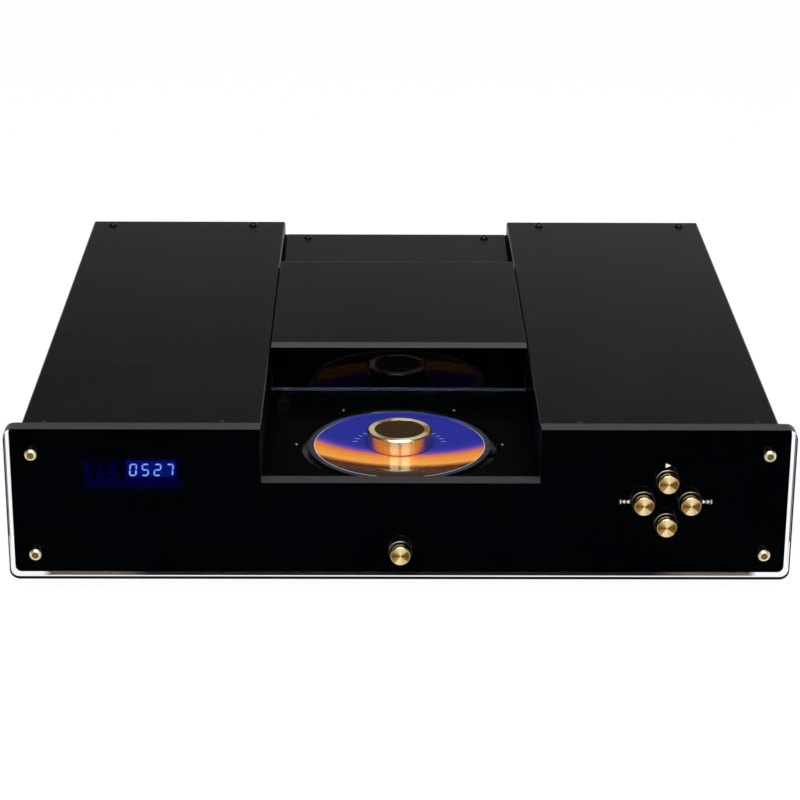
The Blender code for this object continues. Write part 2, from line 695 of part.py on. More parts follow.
def make_rear_panel(shop):
    """Connector panel with a folded flange along the top of each bay, which the cover screws enter."""
    wall_out = CHANNEL_WIDTH / 2 + SHEET + SEAT_GAP
    wall_in = CHANNEL_WIDTH / 2 - SEAT_GAP
    centre_top = REAR_COVER_UNDER_Z - SEAT_GAP
    right = [(INNER_HALF_WIDTH, PAN_BOTTOM_Z), (INNER_HALF_WIDTH, INNER_TOP_Z), (wall_out, INNER_TOP_Z)]
    right += [(wall_out, FLOOR_Z), (wall_in, FLOOR_Z), (wall_in, centre_top)]
    gap = CONNECTOR_HOLE_GAP
    wide, high = INLET_BODY_WIDTH / 2 + gap, INLET_BODY_HEIGHT / 2 + gap
    holes = [rectangle(INLET_X - wide, INLET_Z - high, INLET_X + wide, INLET_Z + high)]
    holes += [circle(x, SOCKET_Z, XLR_BODY_RADIUS + gap, SMALL) for x in XLR_XS]
    holes += [circle(RCA_X, SOCKET_Z + up * RCA_SPACING / 2, RCA_TAIL_RADIUS + gap, TINY) for up in (-1, 1)]
    holes.append(circle(COAX_X, SOCKET_Z, RCA_TAIL_RADIUS + gap, TINY))
    middle = behind((REAR_PANEL_FRONT + REAR_PANEL_REAR) / 2)
    panel = shop.slab("rear_panel", [right + mirrored(right)] + holes, middle, SHEET, "black_steel", upright=True)
    flanges = {
        "left": (-INNER_HALF_WIDTH, -wall_out, INNER_TOP_Z),
        "right": (wall_out, INNER_HALF_WIDTH, INNER_TOP_Z),
        "centre": (-wall_in, wall_in, centre_top),
    }
    for name, (low_x, high_x, top_z) in flanges.items():
        low = (low_x + REAR_FLANGE_SIDE_GAP, behind(REAR_PANEL_FRONT - REAR_FLANGE_DEPTH), top_z - SHEET)
        high = (high_x - REAR_FLANGE_SIDE_GAP, behind(REAR_PANEL_FRONT + SEAM_OVERLAP), top_z)
        join(panel, shop.block(f"flange_{name}", low, high))
    for index, x in enumerate(cover_screw_places()):
        cut(panel, screw_hole(shop, f"flange_hole_{index}", x, COVER_TOP_Z))
    for side in (-1, 1):
        cut(panel, screw_hole(shop, f"centre_flange_hole_{side}", side * CENTRE_SCREW_X, REAR_COVER_Z))
    return panel


def make_rear_cover(shop):
    """Fixed plate under and behind the open lid."""
    half = REAR_COVER_WIDTH / 2
    low = (-half, behind(WELL_REAR_DEPTH), REAR_COVER_UNDER_Z)
    cover = shop.block("centre_rear_cover", low, (half, behind(CASING_REAR), REAR_COVER_Z), "powder_coat")
    for side in (-1, 1):
        cut(cover, screw_hole(shop, f"rear_cover_hole_{side}", side * CENTRE_SCREW_X, REAR_COVER_Z))
    return cover


def make_well_tray(shop):
    """Folded floor of the disc well, on two legs, with the wall at the well's back and the disc's round hole."""
    half, bottom = TRAY_WIDTH / 2, PAN_TOP_Z + SEAT_GAP
    right = [(half - SHEET, FLOOR_UNDER_Z), (half - SHEET, bottom), (half, bottom), (half, FLOOR_Z)]
    rear = WELL_REAR_DEPTH + SHEET
    middle = behind((PAN_FRONT + rear) / 2)
    tray = shop.slab("well_tray", [right + mirrored(right)], middle, rear - PAN_FRONT, "powder_coat", upright=True)
    wall_x = CHANNEL_WIDTH / 2 - SEAT_GAP
    low = (-wall_x, behind(WELL_REAR_DEPTH), FLOOR_UNDER_Z + SEAM_OVERLAP)
    high = (wall_x, behind(rear), REAR_COVER_UNDER_Z - SEAT_GAP)
    join(tray, shop.block("well_rear_wall", low, high))
    flare = FLOOR_HOLE_RADIUS + FLOOR_CHAMFER + OVERRUN
    profile = [(0.0, FLOOR_Z + OVERRUN), (flare, FLOOR_Z + OVERRUN)]
    profile += [(FLOOR_HOLE_RADIUS, FLOOR_Z - FLOOR_CHAMFER), (FLOOR_HOLE_RADIUS, FLOOR_UNDER_Z - OVERRUN)]
    profile += [(0.0, FLOOR_UNDER_Z - OVERRUN)]
    return cut(tray, shop.turned("disc_hole", profile, (0.0, behind(DISC_CENTRE_DEPTH), 0.0), steps=FINE))


def make_lid_guide(shop):
    """Fixed bridge at the front of the rear cover, with a channel for each runner of the lid."""
    low_z, wall_z = REAR_COVER_Z + SEAT_GAP, LID_UNDER_Z - GUIDE_WALL_CLEARANCE
    reach = RUNNER_WIDTH / 2 + RUNNING_GAP
    outer, inner = RUNNER_X + reach, RUNNER_X - reach
    right = [(outer + GUIDE_WALL, low_z), (outer + GUIDE_WALL, wall_z), (outer, wall_z), (outer, GUIDE_BASE_Z)]
    right += [(inner, GUIDE_BASE_Z), (inner, wall_z), (inner - GUIDE_WALL, wall_z)]
    right += [(inner - GUIDE_WALL, GUIDE_BASE_Z)]
    middle = behind(WELL_REAR_DEPTH + GUIDE_FRONT_INSET + GUIDE_LENGTH / 2)
    return shop.slab("lid_guide", [right + mirrored(right)], middle, GUIDE_LENGTH, "nylon", upright=True)


def make_runners(shop):
    """Two strips under the lid that slide in the fixed guide's channels."""
    front = behind(LID_TRAVEL + FASCIA_THICK + RUNNER_END_INSET)
    rear = behind(LID_REAR - RUNNER_END_INSET)
    runners = []
    for name, side in (("left_runner", -1), ("right_runner", 1)):
        low = (side * RUNNER_X - RUNNER_WIDTH / 2, front, GUIDE_BASE_Z + RUNNING_GAP)
        high = (side * RUNNER_X + RUNNER_WIDTH / 2, rear, LID_UNDER_Z - SEAT_GAP)
        runners.append(shop.block(name, low, high, "zinc_steel"))
    return runners


def make_lid_plate(shop):
    """Top of the lid with a skirt folded down on each side."""
    half, skirt_z = LID_WIDTH / 2, REAR_COVER_Z + SKIRT_CLEARANCE
    right = [(half - LID_SKIRT_THICK, LID_UNDER_Z), (half - LID_SKIRT_THICK, skirt_z)]
    right += [(half, skirt_z), (half, TOP_Z)]
    front = LID_TRAVEL + FASCIA_THICK + SEAT_GAP
    middle = behind((front + LID_REAR) / 2)
    outline = right + mirrored(right)
    return shop.slab("lid_plate", [outline], middle, LID_REAR - front, "powder_coat", upright=True)


def make_lid_fascia(shop):
    """Acrylic block that closes the front panel's notch when the lid is shut."""
    half = LID_WIDTH / 2
    low = (-half, behind(LID_TRAVEL), FASCIA_BOTTOM_Z)
    high = (half, behind(LID_TRAVEL + FASCIA_THICK), TOP_Z)
    return shop.block("lid_fascia", low, high, "black_acrylic", bevel=FASCIA_CHAMFER)


def make_feet(shop):
    """Four turned feet with a recessed screw well."""
    front, rear = FOOT_FRONT_DEPTH, CASING_REAR - FOOT_REAR_INSET
    x = CHASSIS_WIDTH / 2 - FOOT_SIDE_INSET
    shoulder = FOOT_HEIGHT / 2
    profile = [(0.0, FOOT_HEIGHT), (FOOT_TOP_RADIUS, FOOT_HEIGHT), (FOOT_RADIUS, shoulder), (FOOT_RADIUS, 0.0)]
    profile += [(FOOT_RECESS_RADIUS, 0.0), (FOOT_RECESS_RADIUS, FOOT_RECESS_DEPTH), (0.0, FOOT_RECESS_DEPTH)]
    places = [(-x, front), (x, front), (-x, rear), (x, rear)]
    for index, (foot_x, depth) in enumerate(places, start=1):
        shop.turned(f"foot_{index}", profile, (foot_x, behind(depth), 0.0), "rubber", steps=SMALL)


def dome_profile(head_radius, head_height, shank_radius, length):
    """Button-head screw: a dome from the top down to the seat at height 0, and its shank."""
    turns = [math.radians(90 - 22.5 * step) for step in range(1, 5)]
    profile = [(0.0, head_height)]
    profile += [(head_radius * math.cos(turn), head_height * math.sin(turn)) for turn in turns]
    return profile + [(shank_radius, 0.0), (shank_radius, -length), (0.0, -length)]


def make_face_screws(shop):
    """Gilt socket screws through the acrylic into the steel plate behind it."""
    radius, height = FACE_SCREW_HEAD_RADIUS, FACE_SCREW_HEAD_HEIGHT
    profile = dome_profile(radius, height, FACE_SCREW_SHANK_RADIUS, FACE_SCREW_LENGTH)
    turn = (math.pi / 2, 0.0, 0.0)
    for index, (x, z) in enumerate(face_screw_places(), start=1):
        place = Vector((x, behind(-SEAT_GAP), z))
        screw = shop.turned(f"faceplate_screw_{index}", profile, place, "gold", steps=SMALL, turn=turn)
        deep = place - Vector((0.0, height - FACE_SCREW_SOCKET_DEPTH, 0.0))
        outside = place - Vector((0.0, height + OVERRUN, 0.0))
        cut(screw, shop.rod(f"hex_{index}", FACE_SCREW_SOCKET_RADIUS, deep, outside, steps=6))


def make_cover_screws(shop):
    """Black domed screws along the rear edges of the covers."""
    profile = dome_profile(
        COVER_SCREW_HEAD_RADIUS, COVER_SCREW_HEAD_HEIGHT, COVER_SCREW_SHANK_RADIUS, COVER_SCREW_LENGTH
    )
    y = behind(CASING_REAR - COVER_SCREW_REAR_INSET)
    for index, x in enumerate(cover_screw_places(), start=1):
        place = (x, y, COVER_TOP_Z + SEAT_GAP)
        shop.turned(f"cover_screw_{index}", profile, place, "black_steel", steps=TINY)
    for index, side in enumerate((-1, 1), start=1):
        place = (side * CENTRE_SCREW_X, y, REAR_COVER_Z + SEAT_GAP)
        shop.turned(f"centre_cover_screw_{index}", profile, place, "black_steel", steps=TINY)


def make_buttons(shop):
    """Spun gilt buttons, each with a stem that reaches its switch."""
    radius, edge, rear = BUTTON_RADIUS, BUTTON_EDGE_RADIUS, BUTTON_REAR
    front, shoulder = BUTTON_PROUD, -BUTTON_SHOULDER
    profile = [(0.0, front - BUTTON_DISH), (radius - edge, front), (radius, front - edge), (radius, shoulder)]
    profile += [(BUTTON_STEM_RADIUS, shoulder), (BUTTON_STEM_RADIUS, -rear), (0.0, -rear)]
    turn = (math.pi / 2, 0.0, 0.0)
    for name, (x, z) in button_places().items():
        shop.turned(name, profile, (x, behind(0.0), z), "gold", steps=SMALL, turn=turn)


def make_turntable(shop):
    """Hub, disc and clamp, each on the spindle's axis."""
    axis = (0.0, behind(DISC_CENTRE_DEPTH), 0.0)
    boss = DISC_BORE_RADIUS - BOSS_GAP
    top_z, under_z = PLATTER_Z + BOSS_HEIGHT, PLATTER_Z - PLATTER_THICK
    profile = [(0.0, top_z), (boss - BOSS_CHAMFER, top_z), (boss, top_z - BOSS_CHAMFER), (boss, PLATTER_Z)]
    profile += [(PLATTER_RADIUS, PLATTER_Z), (PLATTER_RADIUS, under_z + PLATTER_CHAMFER)]
    profile += [(PLATTER_RADIUS - PLATTER_CHAMFER, under_z), (SPINDLE_RADIUS, under_z)]
    spindle_z = MOTOR_BORE_Z + SPINDLE_END_GAP
    profile += [(SPINDLE_RADIUS, spindle_z), (0.0, spindle_z)]
    hub = shop.turned("turntable_hub", profile, axis, "black_plastic", steps=ROUND)
    profile = [(DISC_BORE_RADIUS, DISC_Z), (DISC_RADIUS, DISC_Z), (DISC_RADIUS, DISC_UNDER_Z)]
    profile += [(DISC_BORE_RADIUS, DISC_UNDER_Z)]
    disc = shop.turned("disc", profile, axis, "printed_disc", steps=2 * ROUND, ring=True)
    rim, chamfer, inlay_z = CLAMP_RADIUS, CLAMP_CHAMFER, CLAMP_Z - CLAMP_INLAY_DEPTH
    profile = [(0.0, inlay_z), (CLAMP_INLAY_RADIUS, inlay_z), (CLAMP_INLAY_RADIUS, CLAMP_Z)]
    profile += [(rim - chamfer, CLAMP_Z), (rim, CLAMP_Z - chamfer), (rim, CLAMP_UNDER_Z)]
    recess_z = CLAMP_UNDER_Z + CLAMP_RECESS_DEPTH
    profile += [(CLAMP_RECESS_RADIUS, CLAMP_UNDER_Z), (CLAMP_RECESS_RADIUS, recess_z), (0.0, recess_z)]
    clamp = shop.turned("disc_clamp", profile, axis, "brass", steps=FINE)
    carry(hub, disc)
    carry(disc, clamp)
    return hub


def make_transport(shop):
    """Heavy plate under the disc, and the two rods that its lugs hold."""
    axis_y = behind(DISC_CENTRE_DEPTH)
    half, radius = PLATE_WIDTH / 2, PLATE_CORNER_RADIUS
    right = corner_arc(half - radius, behind(PLATE_FRONT) + radius, radius, 270, 3)
    right += corner_arc(half - radius, behind(PLATE_REAR) - radius, radius, 0, 3)
    slot = rectangle(SLED_START_X - SLOT_HALF, axis_y - SLOT_HALF, SLOT_END_X, axis_y + SLOT_HALF)
    shaft = circle(0.0, axis_y, SHAFT_HOLE_RADIUS, TINY)
    middle = (PLATE_Z + PLATE_UNDER_Z) / 2
    outlines = [right + mirrored(right), shaft, slot]
    plate = shop.slab("transport_plate", outlines, middle, PLATE_THICK, "zinc_steel")
    start_x, end_x = SLED_ROD_START_X, SLED_ROD_END_X
    for row, side in enumerate((-1, 1), start=1):
        y = axis_y + side * SLED_ROD_OFFSET
        for end, x in enumerate((start_x, end_x - LUG_LENGTH), start=1):
            low = (x, y - LUG_WIDTH / 2, SLED_ROD_Z - ROD_BORE_RADIUS - LUG_SPARE)
            high = (x + LUG_LENGTH, y + LUG_WIDTH / 2, PLATE_UNDER_Z + SEAM_OVERLAP)
            join(plate, shop.block(f"lug_{row}_{end}", low, high))
        start, stop = (start_x - OVERRUN, y, SLED_ROD_Z), (end_x + OVERRUN, y, SLED_ROD_Z)
        cut(plate, shop.rod(f"lug_bore_{row}", ROD_BORE_RADIUS, start, stop))
        start, stop = (start_x, y, SLED_ROD_Z), (end_x, y, SLED_ROD_Z)
        shop.rod(f"sled_rod_{row}", SLED_ROD_RADIUS, start, stop, "zinc_steel")
    return plate


def make_plate_fittings(shop):
    """Spindle motor under the plate, and the three soft mounts that it stands on."""
    bore = SPINDLE_RADIUS + RUNNING_GAP
    profile = [(0.0, MOTOR_BORE_Z), (bore, MOTOR_BORE_Z), (bore, MOTOR_TOP_Z), (MOTOR_RADIUS, MOTOR_TOP_Z)]
    profile += [(MOTOR_RADIUS, MOTOR_BOTTOM_Z), (0.0, MOTOR_BOTTOM_Z)]
    place = (0.0, behind(DISC_CENTRE_DEPTH), 0.0)
    shop.turned("spindle_motor", profile, place, "zinc_steel", steps=SMALL)
    low_z, high_z = PAN_TOP_Z + SEAT_GAP, PLATE_UNDER_Z - SEAT_GAP
    profile = [(0.0, high_z), (MOUNT_RADIUS, high_z), (MOUNT_RADIUS, high_z - MOUNT_CAP_HEIGHT)]
    profile += [(MOUNT_WAIST_RADIUS, (low_z + high_z) / 2), (MOUNT_RADIUS, low_z + MOUNT_CAP_HEIGHT)]
    profile += [(MOUNT_RADIUS, low_z), (0.0, low_z)]
    front, rear = PLATE_FRONT + FRONT_MOUNT_SETBACK, PLATE_REAR - REAR_MOUNT_SETBACK
    places = [(-FRONT_MOUNT_X, front), (FRONT_MOUNT_X, front), (0.0, rear)]
    for index, (x, depth) in enumerate(places, start=1):
        shop.turned(f"transport_mount_{index}", profile, (x, behind(depth), 0.0), "rubber", steps=TINY)


def tooth(centre, root, tip):
    """Four points of a straight-sided tooth, as (place along the pitch line, height) pairs."""
    foot, crest = TOOTH_PITCH * TOOTH_WIDTH_SHARE / 2, TOOTH_PITCH * TOOTH_TIP_SHARE / 2
    return [(centre - foot, root), (centre - crest, tip), (centre + crest, tip), (centre + foot, root)]


def make_sled(shop):
    """Laser carriage with its lens barrel, bored for the rods and toothed along one side."""
    axis_y = behind(DISC_CENTRE_DEPTH)
    low = (SLED_START_X - SLED_LENGTH / 2, axis_y - SLED_WIDTH / 2, SLED_BOTTOM_Z)
    high = (SLED_START_X + SLED_LENGTH / 2, axis_y + SLED_WIDTH / 2, SLED_TOP_Z)
    sled = shop.block("laser_sled", low, high, "black_plastic")
    lens_z = DISC_UNDER_Z - LENS_DISC_GAP
    profile = [(0.0, lens_z - LENS_BORE_DEPTH), (LENS_BORE_RADIUS, lens_z - LENS_BORE_DEPTH)]
    profile += [(LENS_BORE_RADIUS, lens_z), (LENS_RADIUS, lens_z)]
    profile += [(LENS_RADIUS, SLED_TOP_Z - OVERRUN), (0.0, SLED_TOP_Z - OVERRUN)]
    join(sled, shop.turned("lens_barrel", profile, (SLED_START_X, axis_y, 0.0), steps=SMALL))
    root = axis_y + RACK_ROOT_OFFSET
    tip = root + DEDENDUM + GEAR_MODULE
    first = GEAR_X - TOOTH_PITCH * math.floor((GEAR_X - RACK_START_X) / TOOTH_PITCH)
    teeth = [tooth(first + TOOTH_PITCH * step, root, tip) for step in range(RACK_TEETH)]
    left, right = RACK_START_X - TOOTH_PITCH / 2, first + TOOTH_PITCH * (RACK_TEETH - 1 / 2)
    back = axis_y + SLED_WIDTH / 2 - SEAM_OVERLAP
    outline = [(right, back), (left, back), (left, root)]
    outline += [point for shape in teeth for point in shape] + [(right, root)]
    join(sled, shop.slab("rack", [outline[::-1]], (GEAR_BOTTOM_Z + GEAR_TOP_Z) / 2, GEAR_THICK))
    for row, side in enumerate((-1, 1), start=1):
        y = axis_y + side * SLED_ROD_OFFSET
        start, stop = (low[0] - OVERRUN, y, SLED_ROD_Z), (high[0] + OVERRUN, y, SLED_ROD_Z)
        cut(sled, shop.rod(f"sled_bore_{row}", ROD_BORE_RADIUS, start, stop))
    return sled


def make_sled_drive(shop):
    """Small motor under the plate, and the gear on its arbor in mesh with the sled's rack."""
    x, y = GEAR_X, behind(DISC_CENTRE_DEPTH) + GEAR_OFFSET
    root, tip = PITCH_RADIUS - DEDENDUM, PITCH_RADIUS + GEAR_MODULE
    outline = []
    for step in range(GEAR_TEETH):
        for along, radius in tooth(0.0, root, tip):
            turn = 2 * math.pi * (step + 1 / 2) / GEAR_TEETH - math.pi / 2 + along / PITCH_RADIUS
            outline.append((x + radius * math.cos(turn), y + radius * math.sin(turn)))
    gear = shop.slab("drive_gear", [outline], (GEAR_BOTTOM_Z + GEAR_TOP_Z) / 2, GEAR_THICK, "nylon")
    motor_bottom, motor_top = GEAR_TOP_Z + SLED_MOTOR_GAP, PLATE_UNDER_Z - SEAT_GAP
    bore, bore_z = GEAR_ARBOR_RADIUS + RUNNING_GAP, motor_top - SLED_MOTOR_WALL
    arbor_top = bore_z - SEAT_GAP
    join(gear, shop.rod("gear_arbor", GEAR_ARBOR_RADIUS, (x, y, GEAR_TOP_Z - SEAM_OVERLAP), (x, y, arbor_top)))
    profile = [(0.0, motor_top), (SLED_MOTOR_RADIUS, motor_top), (SLED_MOTOR_RADIUS, motor_bottom)]
    profile += [(bore, motor_bottom), (bore, bore_z), (0.0, bore_z)]
    shop.turned("sled_motor", profile, (x, y, 0.0), "zinc_steel", steps=SMALL)
    return gear


def make_display(shop):
    """Display body on the back of the steel plate, its glass standing in the plate's window."""
    z = TOP_Z - DISPLAY_DROP
    wide, high = DISPLAY_WINDOW_WIDTH / 2, DISPLAY_WINDOW_HEIGHT / 2
    low = (DISPLAY_X - wide - DISPLAY_RIM, behind(PAN_FRONT), z - high - DISPLAY_RIM)
    top = (DISPLAY_X + wide + DISPLAY_RIM, behind(PAN_FRONT + DISPLAY_BODY_DEPTH), z + high + DISPLAY_RIM)
    module = shop.block("display_module", low, top, "display_glass")
    low = (DISPLAY_X - wide, behind(CASING_FRONT), z - high)
    top = (DISPLAY_X + wide, behind(PAN_FRONT + SEAM_OVERLAP), z + high)
    return join(module, shop.block("display_face", low, top))


def make_button_board(shop):
    """Upright board behind the four direction buttons, with a switch for each and posts to the steel plate."""
    z = TOP_Z - PAD_CENTRE_DROP
    half = PAD_SPACING + BUTTON_BOARD_MARGIN
    front = SWITCH_FRONT + SWITCH_DEPTH
    low = (PAD_CENTRE_X - half, behind(front), z - half)
    high = (PAD_CENTRE_X + half, behind(front + BOARD_THICK), z + half)
    board = shop.block("button_board", low, high, "circuit_board")
    for name, (across, up) in PAD_SHARES.items():
        x, switch_z = PAD_CENTRE_X + across * PAD_SPACING, z + up * PAD_SPACING
        corner = SWITCH_SIZE / 2
        low = (x - corner, behind(SWITCH_FRONT), switch_z - corner)
        high = (x + corner, behind(front + SEAM_OVERLAP), switch_z + corner)
        join(board, shop.block("switch_" + name, low, high))
    reach = half - BOARD_POST_INSET
    for across in (-1, 1):
        for up in (-1, 1):
            x, post_z = PAD_CENTRE_X + across * reach, z + up * reach
            start, stop = (x, behind(PAN_FRONT), post_z), (x, behind(front + SEAM_OVERLAP), post_z)
            join(board, shop.rod(f"board_post_{across}_{up}", BOARD_POST_RADIUS, start, stop, steps=8))
    return board


def along_chassis(share):
    """Depth of a place, as a share of the chassis from its front to its rear."""
    return CASING_FRONT + share * CHASSIS_DEPTH


def make_bay_board(shop, name, side, shares):
    """Flat board in one bay, on four posts that stand on the base pan."""
    low_x = side * BAY_CENTRE_X - BAY_BOARD_WIDTH / 2
    high_x = low_x + BAY_BOARD_WIDTH
    z = PAN_TOP_Z + SEAT_GAP + BOARD_POST_HEIGHT
    front, rear = map(along_chassis, shares)
    low, high = (low_x, behind(front), z), (high_x, behind(rear), z + BOARD_THICK)
    board = shop.block(name, low, high, "circuit_board")
    inset = BOARD_POST_INSET
    for x in (low_x + inset, high_x - inset):
        for depth in (front + inset, rear - inset):
            start, stop = (x, behind(depth), PAN_TOP_Z + SEAT_GAP), (x, behind(depth), z + SEAM_OVERLAP)
            join(board, shop.rod(f"{name}_post", BOARD_POST_RADIUS, start, stop, steps=8))
    return board, low_x, z + BOARD_THICK


def make_boards(shop):
    """Servo, supply and converter boards with their largest components."""
    board, low_x, top_z = make_bay_board(shop, "servo_board", -1, SERVO_BOARD_SHARES)
    add_chips(shop, board, low_x, SERVO_BOARD_SHARES, top_z, SERVO_CHIP_SHARES)
    board, low_x, top_z = make_bay_board(shop, "converter_board", 1, CONVERTER_BOARD_SHARES)
    add_chips(shop, board, low_x, CONVERTER_BOARD_SHARES, top_z, CONVERTER_CHIP_SHARES)
    board, low_x, top_z = make_bay_board(shop, "power_supply_board", -1, SUPPLY_BOARD_SHARES)
    front, rear = map(along_chassis, SUPPLY_BOARD_SHARES)
    for index, (across, back) in enumerate(CAPACITOR_PLACE_SHARES, start=1):
        x, y = low_x + across * BAY_BOARD_WIDTH, behind(front + back * (rear - front))
        start, stop = (x, y, top_z - SEAM_OVERLAP), (x, y, top_z + CAPACITOR_HEIGHT)
        join(board, shop.rod(f"capacitor_{index}", CAPACITOR_RADIUS, start, stop, steps=TINY))


def add_chips(shop, board, low_x, board_shares, top_z, shares):
    """Low blocks on a board, placed and sized by shares of it."""
    front, rear = map(along_chassis, board_shares)
    for index, (across, back, wide, long) in enumerate(shares, start=1):
        x, y = low_x + across * BAY_BOARD_WIDTH, behind(front + back * (rear - front))
        half_x, half_y = wide * BAY_BOARD_WIDTH / 2, long * (rear - front) / 2
        low = (x - half_x, y - half_y, top_z - SEAM_OVERLAP)
        high = (x + half_x, y + half_y, top_z + CHIP_HEIGHT)
        join(board, shop.block(f"{board.name}_chip_{index}", low, high))


def make_transformer(shop):
    """Toroidal mains transformer, held down by a dished plate and one bolt through its middle."""
    y, low_z = behind(along_chassis(CORE_PLACE_SHARE)), PAN_TOP_Z + SEAT_GAP
    top_z = low_z + CORE_HEIGHT
    outer, inner, rounding = CORE_RADIUS, CORE_HOLE_RADIUS, CORE_ROUNDING
    bend = rounding * (1 - math.cos(math.radians(45)))
    profile = [(inner, top_z), (outer - rounding, top_z), (outer - bend, top_z - bend), (outer, top_z - rounding)]
    profile += [(outer, low_z + rounding), (outer - bend, low_z + bend), (outer - rounding, low_z), (inner, low_z)]
    shop.turned("mains_transformer", profile, (0.0, y, 0.0), "wound_core", steps=SMALL, ring=True)
    plate_z, plate_top = top_z + SEAT_GAP, top_z + SEAT_GAP + CORE_CLAMP_THICK
    profile = [(0.0, plate_top), (CORE_CLAMP_RADIUS, plate_top), (CORE_CLAMP_RADIUS, plate_z)]
    profile += [(CORE_BOLT_RADIUS, plate_z), (CORE_BOLT_RADIUS, low_z), (0.0, low_z)]
    shop.turned("transformer_clamp", profile, (0.0, y, 0.0), "zinc_steel", steps=SMALL)


def make_switches(shop):
    """Mains switch behind the power button, and the switch that the lid works."""
    half, z = POWER_SWITCH_WIDTH / 2, PAN_TOP_Z + SEAT_GAP
    high = (half, behind(SWITCH_FRONT + POWER_SWITCH_LENGTH), z + POWER_SWITCH_HEIGHT)
    shop.block("power_switch", (-half, behind(SWITCH_FRONT), z), high, "black_plastic")
    half_x, half_y = LID_SWITCH_WIDTH / 2, LID_SWITCH_LENGTH / 2
    y = behind(WELL_REAR_DEPTH - LID_SWITCH_REAR_INSET)
    low = (LID_SWITCH_X - half_x, y - half_y, FLOOR_Z + SEAT_GAP)
    high = (LID_SWITCH_X + half_x, y + half_y, FASCIA_BOTTOM_Z - LID_SWITCH_CLEARANCE)
    shop.block("lid_switch", low, high, "black_plastic")


def make_inlet(shop):
    """Mains inlet with three blades, and the fuse drawer that slides into the slot above them."""
    wide, high = INLET_FLANGE_WIDTH / 2, INLET_FLANGE_HEIGHT / 2
    low = (INLET_X - wide, behind(FLANGE_FRONT), INLET_Z - high)
    top = (INLET_X + wide, behind(FLANGE_REAR), INLET_Z + high)
    inlet = shop.block("mains_inlet", low, top, "black_plastic")
    wide, high = INLET_BODY_WIDTH / 2, INLET_BODY_HEIGHT / 2
    low = (INLET_X - wide, behind(FLANGE_REAR - INLET_BODY_DEPTH), INLET_Z - high)
    top = (INLET_X + wide, behind(FLANGE_FRONT + SEAM_OVERLAP), INLET_Z + high)
    join(inlet, shop.block("inlet_body", low, top))
    wide -= INLET_WALL
    cavity_z = INLET_Z - high + INLET_WALL
    cavity_top = cavity_z + INLET_CAVITY_HEIGHT
    cavity_floor = FLANGE_REAR - INLET_CAVITY_DEPTH
    mouth = behind(FLANGE_REAR + OVERRUN)
    low, top = (INLET_X - wide, behind(cavity_floor), cavity_z), (INLET_X + wide, mouth, cavity_top)
    cut(inlet, shop.block("inlet_cavity", low, top))
    slot_z, slot_top = cavity_top + INLET_WALL, INLET_Z + high - INLET_WALL
    slot_floor = FLANGE_REAR - DRAWER_LENGTH - SEAT_GAP
    low, top = (INLET_X - wide, behind(slot_floor), slot_z), (INLET_X + wide, mouth, slot_top)
    cut(inlet, shop.block("drawer_slot", low, top))
    pin_z = (cavity_z + cavity_top) / 2
    for across in (-1, 0, 1):
        x = INLET_X + across * INLET_PIN_SPACING
        z = pin_z + (INLET_PIN_RAISE if across == 0 else 0.0)
        low = (x - INLET_PIN_WIDTH / 2, behind(cavity_floor - SEAM_OVERLAP), z - INLET_PIN_HEIGHT / 2)
        top = (x + INLET_PIN_WIDTH / 2, behind(cavity_floor + INLET_PIN_LENGTH), z + INLET_PIN_HEIGHT / 2)
        join(inlet, shop.block(f"inlet_pin_{across}", low, top))
    gap = SEAT_GAP
    low = (INLET_X - wide + gap, behind(slot_floor + gap), slot_z + gap)
    top = (INLET_X + wide - gap, behind(FLANGE_REAR), slot_top - gap)
    shop.block("fuse_drawer", low, top, "black_plastic")


def make_xlr(shop, name, x):
    """Balanced output: a square flange, a round shell and three pins."""
    y = behind(FLANGE_REAR)
    wide, high = XLR_FLANGE_WIDTH / 2, XLR_FLANGE_HEIGHT / 2
    low, top = (x - wide, behind(FLANGE_FRONT), SOCKET_Z - high), (x + wide, y, SOCKET_Z + high)
    socket = shop.block(name, low, top, "zinc_steel")
    start = (x, behind(FLANGE_REAR - XLR_BODY_DEPTH), SOCKET_Z)
    stop = (x, behind(FLANGE_FRONT + SEAM_OVERLAP), SOCKET_Z)
    join(socket, shop.rod(name + "_body", XLR_BODY_RADIUS, start, stop, steps=SMALL))
    floor = FLANGE_REAR - XLR_CAVITY_DEPTH
    start, stop = (x, behind(floor), SOCKET_Z), (x, y + OVERRUN, SOCKET_Z)
    cut(socket, shop.rod(name + "_cavity", XLR_CAVITY_RADIUS, start, stop, steps=SMALL))
    for index, angle in enumerate((30, 150, 270), start=1):
        turn = math.radians(angle)
        pin_x, pin_z = x + XLR_PIN_CIRCLE * math.cos(turn), SOCKET_Z + XLR_PIN_CIRCLE * math.sin(turn)
        start, stop = (pin_x, behind(floor - SEAM_OVERLAP), pin_z), (pin_x, behind(floor + XLR_PIN_LENGTH), pin_z)
        join(socket, shop.rod(f"{name}_pin_{index}", XLR_PIN_RADIUS, start, stop, steps=8))
    return socket


def socket_profile(sleeve_radius, collar_radius):
    """Turned coaxial socket: the sleeve outside, a collar on the panel and a tail inside."""
    outer = REAR_PROUD + CASING_REAR - FLANGE_FRONT
    collar = FLANGE_THICK
    hole = RCA_HOLE_RADIUS
    profile = [(0.0, outer - RCA_HOLE_DEPTH), (hole, outer - RCA_HOLE_DEPTH), (hole, outer), (sleeve_radius, outer)]
    profile += [(sleeve_radius, collar), (collar_radius, collar), (collar_radius, 0.0), (RCA_TAIL_RADIUS, 0.0)]
    return profile + [(RCA_TAIL_RADIUS, -RCA_TAIL_LENGTH), (0.0, -RCA_TAIL_LENGTH)]


